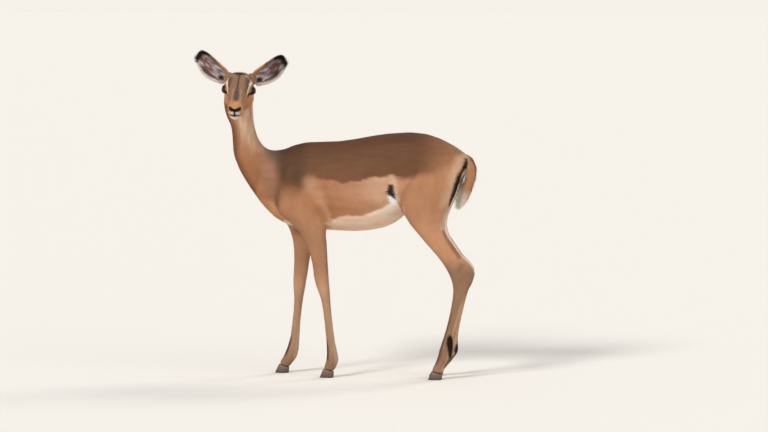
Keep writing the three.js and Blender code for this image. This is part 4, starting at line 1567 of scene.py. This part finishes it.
    def mesh(
        self, name: str, points: np.ndarray, facing: np.ndarray, colours: np.ndarray, maps: np.ndarray
    ) -> bpy.types.Object:
        """Tufts of four corners each as one mesh object.

        Args:
            name: the object's name.
            points: the corners of every tuft, in metres.
            facing: the direction that each corner is shaded by.
            colours: the corners' colours.
            maps: the corners' places on the flat map.

        Returns:
            The new object.
        """
        count = len(points)
        corners = np.array([[0, 2, 1], [0, 3, 2], [1, 2, 3], [0, 1, 3]])
        faces = (np.arange(count)[:, None, None] * 4 + corners[None]).reshape(-1, 3)
        mesh = bpy.data.meshes.new(name)
        mesh.vertices.add(count * 4)
        mesh.vertices.foreach_set("co", points.astype(np.float32).ravel())
        mesh.loops.add(faces.size)
        mesh.loops.foreach_set("vertex_index", faces.astype(np.int32).ravel())
        mesh.polygons.add(len(faces))
        mesh.polygons.foreach_set("loop_start", np.arange(0, faces.size, 3, dtype=np.int32))
        mesh.update(calc_edges=True)
        paint_points(mesh, colours.reshape(-1, 3))
        layer = mesh.uv_layers.new(name="OFBake")
        layer.data.foreach_set("uv", maps.reshape(-1, 2)[faces.ravel()].astype(np.float32).ravel())
        mesh.validate()
        normals = mesh.attributes.new("custom_normal", "FLOAT_VECTOR", "POINT")
        normals.data.foreach_set("vector", facing.astype(np.float32).ravel())
        obj = bpy.data.objects.new(name, mesh)
        bpy.context.collection.objects.link(obj)
        return obj


# ---- Finishes --------------------------------------------------------------------------------------


def add_node(
    tree: bpy.types.NodeTree, kind: str, settings: dict[str, object] | None = None, **inputs: object
) -> bpy.types.Node:
    """Adds a node to a material.

    Args:
        tree: the material's node tree.
        kind: the node's type, such as ShaderNodeBump.
        settings: the node's own properties.
        inputs: sockets by name, with underscores for spaces: another node's socket, or a plain value.

    Returns:
        The new node.
    """
    node = tree.nodes.new(kind)
    for name, value in (settings or {}).items():
        setattr(node, name, value)
    for name, value in inputs.items():
        socket = node.inputs[name.replace("_", " ")]
        if isinstance(value, bpy.types.NodeSocket):
            tree.links.new(value, socket)
        else:
            socket.default_value = value
    return node


def add_pair(
    tree: bpy.types.NodeTree,
    operation: str,
    first: bpy.types.NodeSocket,
    second: bpy.types.NodeSocket | float,
) -> bpy.types.NodeSocket:
    """Adds one sum of two values to a material and returns its result.

    Args:
        tree: the material's node tree.
        operation: the sum, such as MULTIPLY.
        first: the first value's socket.
        second: the second value's socket, or a plain value.

    Returns:
        The result's socket.
    """
    node = add_node(tree, "ShaderNodeMath", {"operation": operation})
    tree.links.new(first, node.inputs[0])
    if isinstance(second, bpy.types.NodeSocket):
        tree.links.new(second, node.inputs[1])
    else:
        node.inputs[1].default_value = second
    return node.outputs["Value"]


def blank_material(name: str) -> tuple[bpy.types.Material, bpy.types.NodeTree, bpy.types.Node]:
    """A new material with its tree and its Principled shader.

    Args:
        name: the material's name.

    Returns:
        The three of them.
    """
    material = bpy.data.materials.new(name)
    material.use_nodes = True
    tree = material.node_tree
    return material, tree, tree.nodes["Principled BSDF"]


@dataclass(frozen=True)
class CoatFinish:
    """Short guard hair: a soft gloss along the body, with fine streaks where strands part.

    A hair is about 0.06 mm across, too fine to show, so the streaks are locks of hair about 1 mm across.
    """

    name: str
    strand_mm: float
    bump_mm: float
    roughness: float

    def material(self) -> bpy.types.Material:
        """The finish as a material that reads the markings from the mesh.

        Returns:
            The material.
        """
        material, tree, shader = blank_material(self.name)
        colour = add_node(tree, "ShaderNodeVertexColor", {"layer_name": COLOUR_LAYER})
        place = add_node(tree, "ShaderNodeTexCoord")
        strands = add_node(
            tree, "ShaderNodeTexNoise", Vector=place.outputs["Object"], Scale=1 / (self.strand_mm * MM),
            Detail=3.0, Roughness=0.6,
        )
        shade = add_node(
            tree, "ShaderNodeMapRange", Value=strands.outputs["Fac"], From_Min=0.3, From_Max=0.7,
            To_Min=0.93, To_Max=1.07,
        )
        tinted = add_node(
            tree, "ShaderNodeVectorMath", {"operation": "SCALE"}, Vector=colour.outputs["Color"],
            Scale=shade.outputs["Result"],
        )
        bump = add_node(
            tree, "ShaderNodeBump", Height=strands.outputs["Fac"], Distance=self.bump_mm * MM, Strength=0.6
        )
        tree.links.new(tinted.outputs["Vector"], shader.inputs["Base Color"])
        tree.links.new(bump.outputs["Normal"], shader.inputs["Normal"])
        shader.inputs["Roughness"].default_value = self.roughness
        shader.inputs["IOR"].default_value = 1.45
        shader.inputs["Specular IOR Level"].default_value = 0.25
        shader.inputs["Specular Tint"].default_value = (*linear(0xE8C8A4), 1)
        return material


@dataclass(frozen=True)
class HornFinish:
    """Hoof horn: dull grey-brown keratin with rings of growth, darkest at the ground and flecked paler higher
    up.
    """

    name: str = "hoof_horn"

    def material(self) -> bpy.types.Material:
        """The finish as a material.

        Returns:
            The material.
        """
        material, tree, shader = blank_material(self.name)
        place = add_node(tree, "ShaderNodeTexCoord")
        apart = add_node(tree, "ShaderNodeSeparateXYZ", Vector=place.outputs["Object"])
        grit = add_node(
            tree, "ShaderNodeTexNoise", Vector=place.outputs["Object"], Scale=1 / (1.6 * MM), Detail=4.0
        )
        above_ground = add_node(
            tree, "ShaderNodeMapRange", Value=apart.outputs["Z"], From_Min=2 * MM, From_Max=26 * MM,
            To_Min=0.0, To_Max=1.0,
        )
        pale_flecks = add_pair(tree, "MULTIPLY", above_ground.outputs["Result"], grit.outputs["Fac"])
        horn = add_node(tree, "ShaderNodeMix", {"data_type": "RGBA"})
        tree.links.new(pale_flecks, horn.inputs["Factor"])
        horn.inputs["A"].default_value = (*linear(0x3A2E27), 1)
        horn.inputs["B"].default_value = (*linear(0x8E7059), 1)
        bump = add_node(
            tree, "ShaderNodeBump", Height=grit.outputs["Fac"], Distance=0.3 * MM, Strength=0.5
        )
        tree.links.new(horn.outputs["Result"], shader.inputs["Base Color"])
        tree.links.new(bump.outputs["Normal"], shader.inputs["Normal"])
        shader.inputs["Roughness"].default_value = 0.62
        shader.inputs["IOR"].default_value = 1.54
        return material


@dataclass(frozen=True)
class EyeFinish:
    """A wet eye: a dark brown iris under a clear coat that keeps one sharp highlight."""

    name: str = "wet_eye"

    def material(self) -> bpy.types.Material:
        """The finish as a material that reads the iris and the pupil from the mesh.

        Returns:
            The material.
        """
        material, tree, shader = blank_material(self.name)
        colour = add_node(tree, "ShaderNodeVertexColor", {"layer_name": COLOUR_LAYER})
        tree.links.new(colour.outputs["Color"], shader.inputs["Base Color"])
        shader.inputs["Roughness"].default_value = 0.12
        shader.inputs["IOR"].default_value = 1.376
        shader.inputs["Specular IOR Level"].default_value = 0.1
        shader.inputs["Coat Weight"].default_value = 0.35
        shader.inputs["Coat Roughness"].default_value = 0.03
        return material


# ---- Eyes and hooves -------------------------------------------------------------------------------


@dataclass
class Eyeball:
    """One eye: a ball with a clear bulge, a dark brown iris and a level pupil."""

    side: int
    radius: float = 15.6
    iris: float = 0.80  # the sine of the iris's angle from the gaze
    bulge: float = 0.9

    def build(self) -> bpy.types.Object:
        """The eye as one smooth mesh.

        Returns:
            The eye's object.
        """
        socket = SOCKETS[self.side]
        centre, gaze, front, lid = socket.axes()
        bpy.ops.object.select_all(action="DESELECT")
        bpy.ops.mesh.primitive_uv_sphere_add(segments=64, ring_count=40, radius=self.radius * MM)
        eye = bpy.context.object
        eye.name = eye.data.name = f"eyeball_{'left' if self.side == 1 else 'right'}"
        surface = Surface(eye)
        local = surface.points / MM
        way = unit(local)
        axes = np.stack([front, lid, gaze])
        swell = self.bulge * ramp(way[:, 2], 0.45, 1.0)
        surface.points = PLACES.from_head(centre + (way * (self.radius + swell)[:, None]) @ axes)
        surface.write()
        level = math.sin(socket.tilt), math.cos(socket.tilt)
        rise = way[:, 0] * -level[0] * 0.4 + way[:, 1]
        pupil = np.hypot(way[:, 0] / 0.42, rise / 0.24)
        around = np.hypot(way[:, 0], way[:, 1])
        colour = np.tile(linear(0x24160F), (len(way), 1))
        colour = mix(colour, 0x3A2417, bell(around, 0.55, 0.18))
        colour = mix(colour, 0x0A0706, ramp(pupil, 1.1, 0.9))
        colour = mix(colour, 0x1A1412, ramp(around, self.iris - 0.06, self.iris))
        paint_points(eye.data, colour)
        only(eye)
        bpy.ops.object.mode_set(mode="EDIT")
        bpy.ops.mesh.select_all(action="SELECT")
        bpy.ops.mesh.normals_make_consistent(inside=False)
        bpy.ops.object.mode_set(mode="OBJECT")
        bpy.ops.object.shade_smooth()
        return eye


@dataclass
class Claw:
    """One claw of a hoof, from a fine copy of its CAD node with rings of growth."""

    node: str
    grain: float = 0.0012
    ring: float = 2.6
    depth: float = 0.16

    def build(self) -> bpy.types.Object:
        """The claw as one smooth mesh that stands flat on the ground.

        Returns:
            The claw's object.
        """
        claw = merged_copy([self.node], f"hoof_{self.node}", 0.0)
        apply_modifier(claw, "REMESH", mode="VOXEL", voxel_size=self.grain, adaptivity=0)
        apply_modifier(claw, "SMOOTH", factor=0.6, iterations=6)
        surface = Surface(claw)
        normals = surface.normals()
        height = surface.points[:, 2] / MM
        wall = ramp(np.abs(normals[:, 2]), 0.8, 0.5)
        rings = np.sin(height / self.ring * math.tau + 1.5 * ripple(surface.points / MM, 14, 5))
        surface.points += normals * (self.depth * MM * rings * wall)[:, None]
        lowest = surface.points[:, 2].min()
        surface.points[:, 2] = np.maximum(surface.points[:, 2] - lowest - 0.25 * MM, 0)
        surface.write()
        only(claw)
        bpy.ops.object.shade_smooth()
        return claw


# ---- Studio ----------------------------------------------------------------------------------------


@dataclass(frozen=True)
class Lamp:
    """One soft sun. Azimuth is turned from the animal's left side towards its rear, in degrees."""

    name: str
    strength: float
    azimuth: float
    elevation: float
    spread: float
    tint: tuple[float, float, float]

    def hang(self) -> None:
        """Adds the lamp to the scene."""
        data = bpy.data.lights.new(self.name, "SUN")
        data.energy, data.angle, data.color = self.strength, math.radians(self.spread), self.tint
        lamp = bpy.data.objects.new(self.name, data)
        lamp.rotation_euler = towards(self.azimuth, self.elevation).to_track_quat("Z", "Y").to_euler()
        bpy.context.collection.objects.link(lamp)


def towards(azimuth: float, elevation: float) -> Vector:
    """The direction to a place seen at an azimuth from the left side and at an elevation, in degrees."""
    turn, tip = math.radians(azimuth), math.radians(elevation)
    return Vector((math.sin(turn) * math.cos(tip), -math.cos(turn) * math.cos(tip), math.sin(tip)))


@dataclass
class Studio:
    """A pale floor and surround, soft light and the camera."""

    azimuth: float = 10.0
    elevation: float = 4.5
    distance: float = 15.0
    aim: tuple[float, float, float] = (120.8, 0.0, 565.1)
    seen_width: float = 2.688  # what the view takes in, in metres
    lamps: tuple[Lamp, ...] = (
        Lamp("key", 2.2, -26, 34, 16, (1.0, 0.98, 0.95)),
        Lamp("fill", 0.9, 60, 22, 50, (1.0, 0.98, 0.96)),
        Lamp("rim", 0.9, 140, 38, 20, (1.0, 0.95, 0.88)),
    )
    ambient: float = 0.49
    floor_side: float = 80.0  # in metres
    floor_colour: int = 0xE6E3DE
    backdrop: int = 0xF6F2EA  # the lit floor's colour, so that its far edge does not show

    def camera(self) -> None:
        """Places the camera."""
        way = towards(self.azimuth, self.elevation)
        data = bpy.data.cameras.new("camera")
        data.sensor_width = 36
        data.lens = data.sensor_width * self.distance / self.seen_width
        data.clip_end = 100
        camera = bpy.data.objects.new("camera", data)
        camera.location = Vector(PLACES.from_body(self.aim)) + way * self.distance
        camera.rotation_euler = way.to_track_quat("Z", "Y").to_euler()
        bpy.context.collection.objects.link(camera)
        bpy.context.scene.camera = camera

    def floor(self) -> None:
        """Lays the floor."""
        bpy.ops.object.select_all(action="DESELECT")
        bpy.ops.mesh.primitive_plane_add(size=self.floor_side)
        floor = bpy.context.object
        floor.name = "floor"
        material, _, shader = blank_material("pale_floor")
        shader.inputs["Base Color"].default_value = (*linear(self.floor_colour), 1)
        shader.inputs["Roughness"].default_value = 0.95
        shader.inputs["Specular IOR Level"].default_value = 0.1
        floor.data.materials.append(material)

    def world(self) -> None:
        """Sets an even surround, which the camera and mirror-like faces see as a pale backdrop."""
        world = bpy.data.worlds.new("surround")
        world.use_nodes = True
        tree = world.node_tree
        background = tree.nodes["Background"]
        path = add_node(tree, "ShaderNodeLightPath")
        seen = path.outputs["Is Camera Ray"]
        for name in ("Is Glossy Ray", "Is Transmission Ray"):
            seen = add_pair(tree, "MAXIMUM", seen, path.outputs[name])
        colour = add_node(tree, "ShaderNodeMix", {"data_type": "RGBA"})
        tree.links.new(seen, colour.inputs["Factor"])
        colour.inputs["A"].default_value = (self.ambient, self.ambient, self.ambient, 1)
        colour.inputs["B"].default_value = (*linear(self.backdrop), 1)
        tree.links.new(colour.outputs["Result"], background.inputs["Color"])
        background.inputs["Strength"].default_value = 1.0
        bpy.context.scene.world = world

    def build(self) -> None:
        """The whole studio."""
        self.camera()
        self.floor()
        for lamp in self.lamps:
            lamp.hang()
        self.world()
        bpy.context.scene.view_settings.view_transform = "Standard"


# ---- Whole animal ----------------------------------------------------------------------------------


def finish_piece(piece: bpy.types.Object, slot: str, material: bpy.types.Material, *nodes: str) -> None:
    """Dresses a piece, hangs it on the animal's root and hides the CAD nodes that it replaces.

    Args:
        piece: the object to dress.
        slot: the name of a material slot; not used.
        material: what it is made of.
        nodes: the CAD nodes that it replaces.
    """
    piece.data.materials.clear()
    piece.data.materials.append(material)
    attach(piece, "root")
    if nodes:
        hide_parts(*nodes)
    piece.data.calc_loop_triangles()
    LOG.info("%s: %d triangles", piece.name, len(piece.data.loop_triangles))


SKIN_SHADE = 0.95  # the skin between the tufts is a little darker than they are


def main() -> None:
    """Builds the animal and its studio."""
    logging.basicConfig(level=logging.INFO, format="%(message)s")
    Studio().build()
    skin = Skin()
    skin_object = skin.build()
    markings = Markings(skin)
    coat = Coat(skin, markings)
    coat.prepare()
    colours = markings.colours(skin.surface.points, coat.normals, coat.shares)
    paint_points(skin_object.data, colours * SKIN_SHADE)
    under = CoatFinish("under_hair", strand_mm=1.4, bump_mm=0.5, roughness=0.7).material()
    finish_piece(skin_object, "coat", under, *FLESH)
    over = CoatFinish("guard_hair", strand_mm=1.0, bump_mm=0.1, roughness=0.52).material()
    for piece in COAT_PIECES:
        finish_piece(coat.grow(piece), "coat", over)
    wet = EyeFinish().material()
    for side, name in ((1, "eye_left"), (-1, "eye_right")):
        finish_piece(Eyeball(side).build(), "eye", wet, name)
    horn = HornFinish().material()
    for node in CLAWS:
        finish_piece(Claw(node).build(), "hoof", horn, node)


if __name__ == "__main__":
    main()
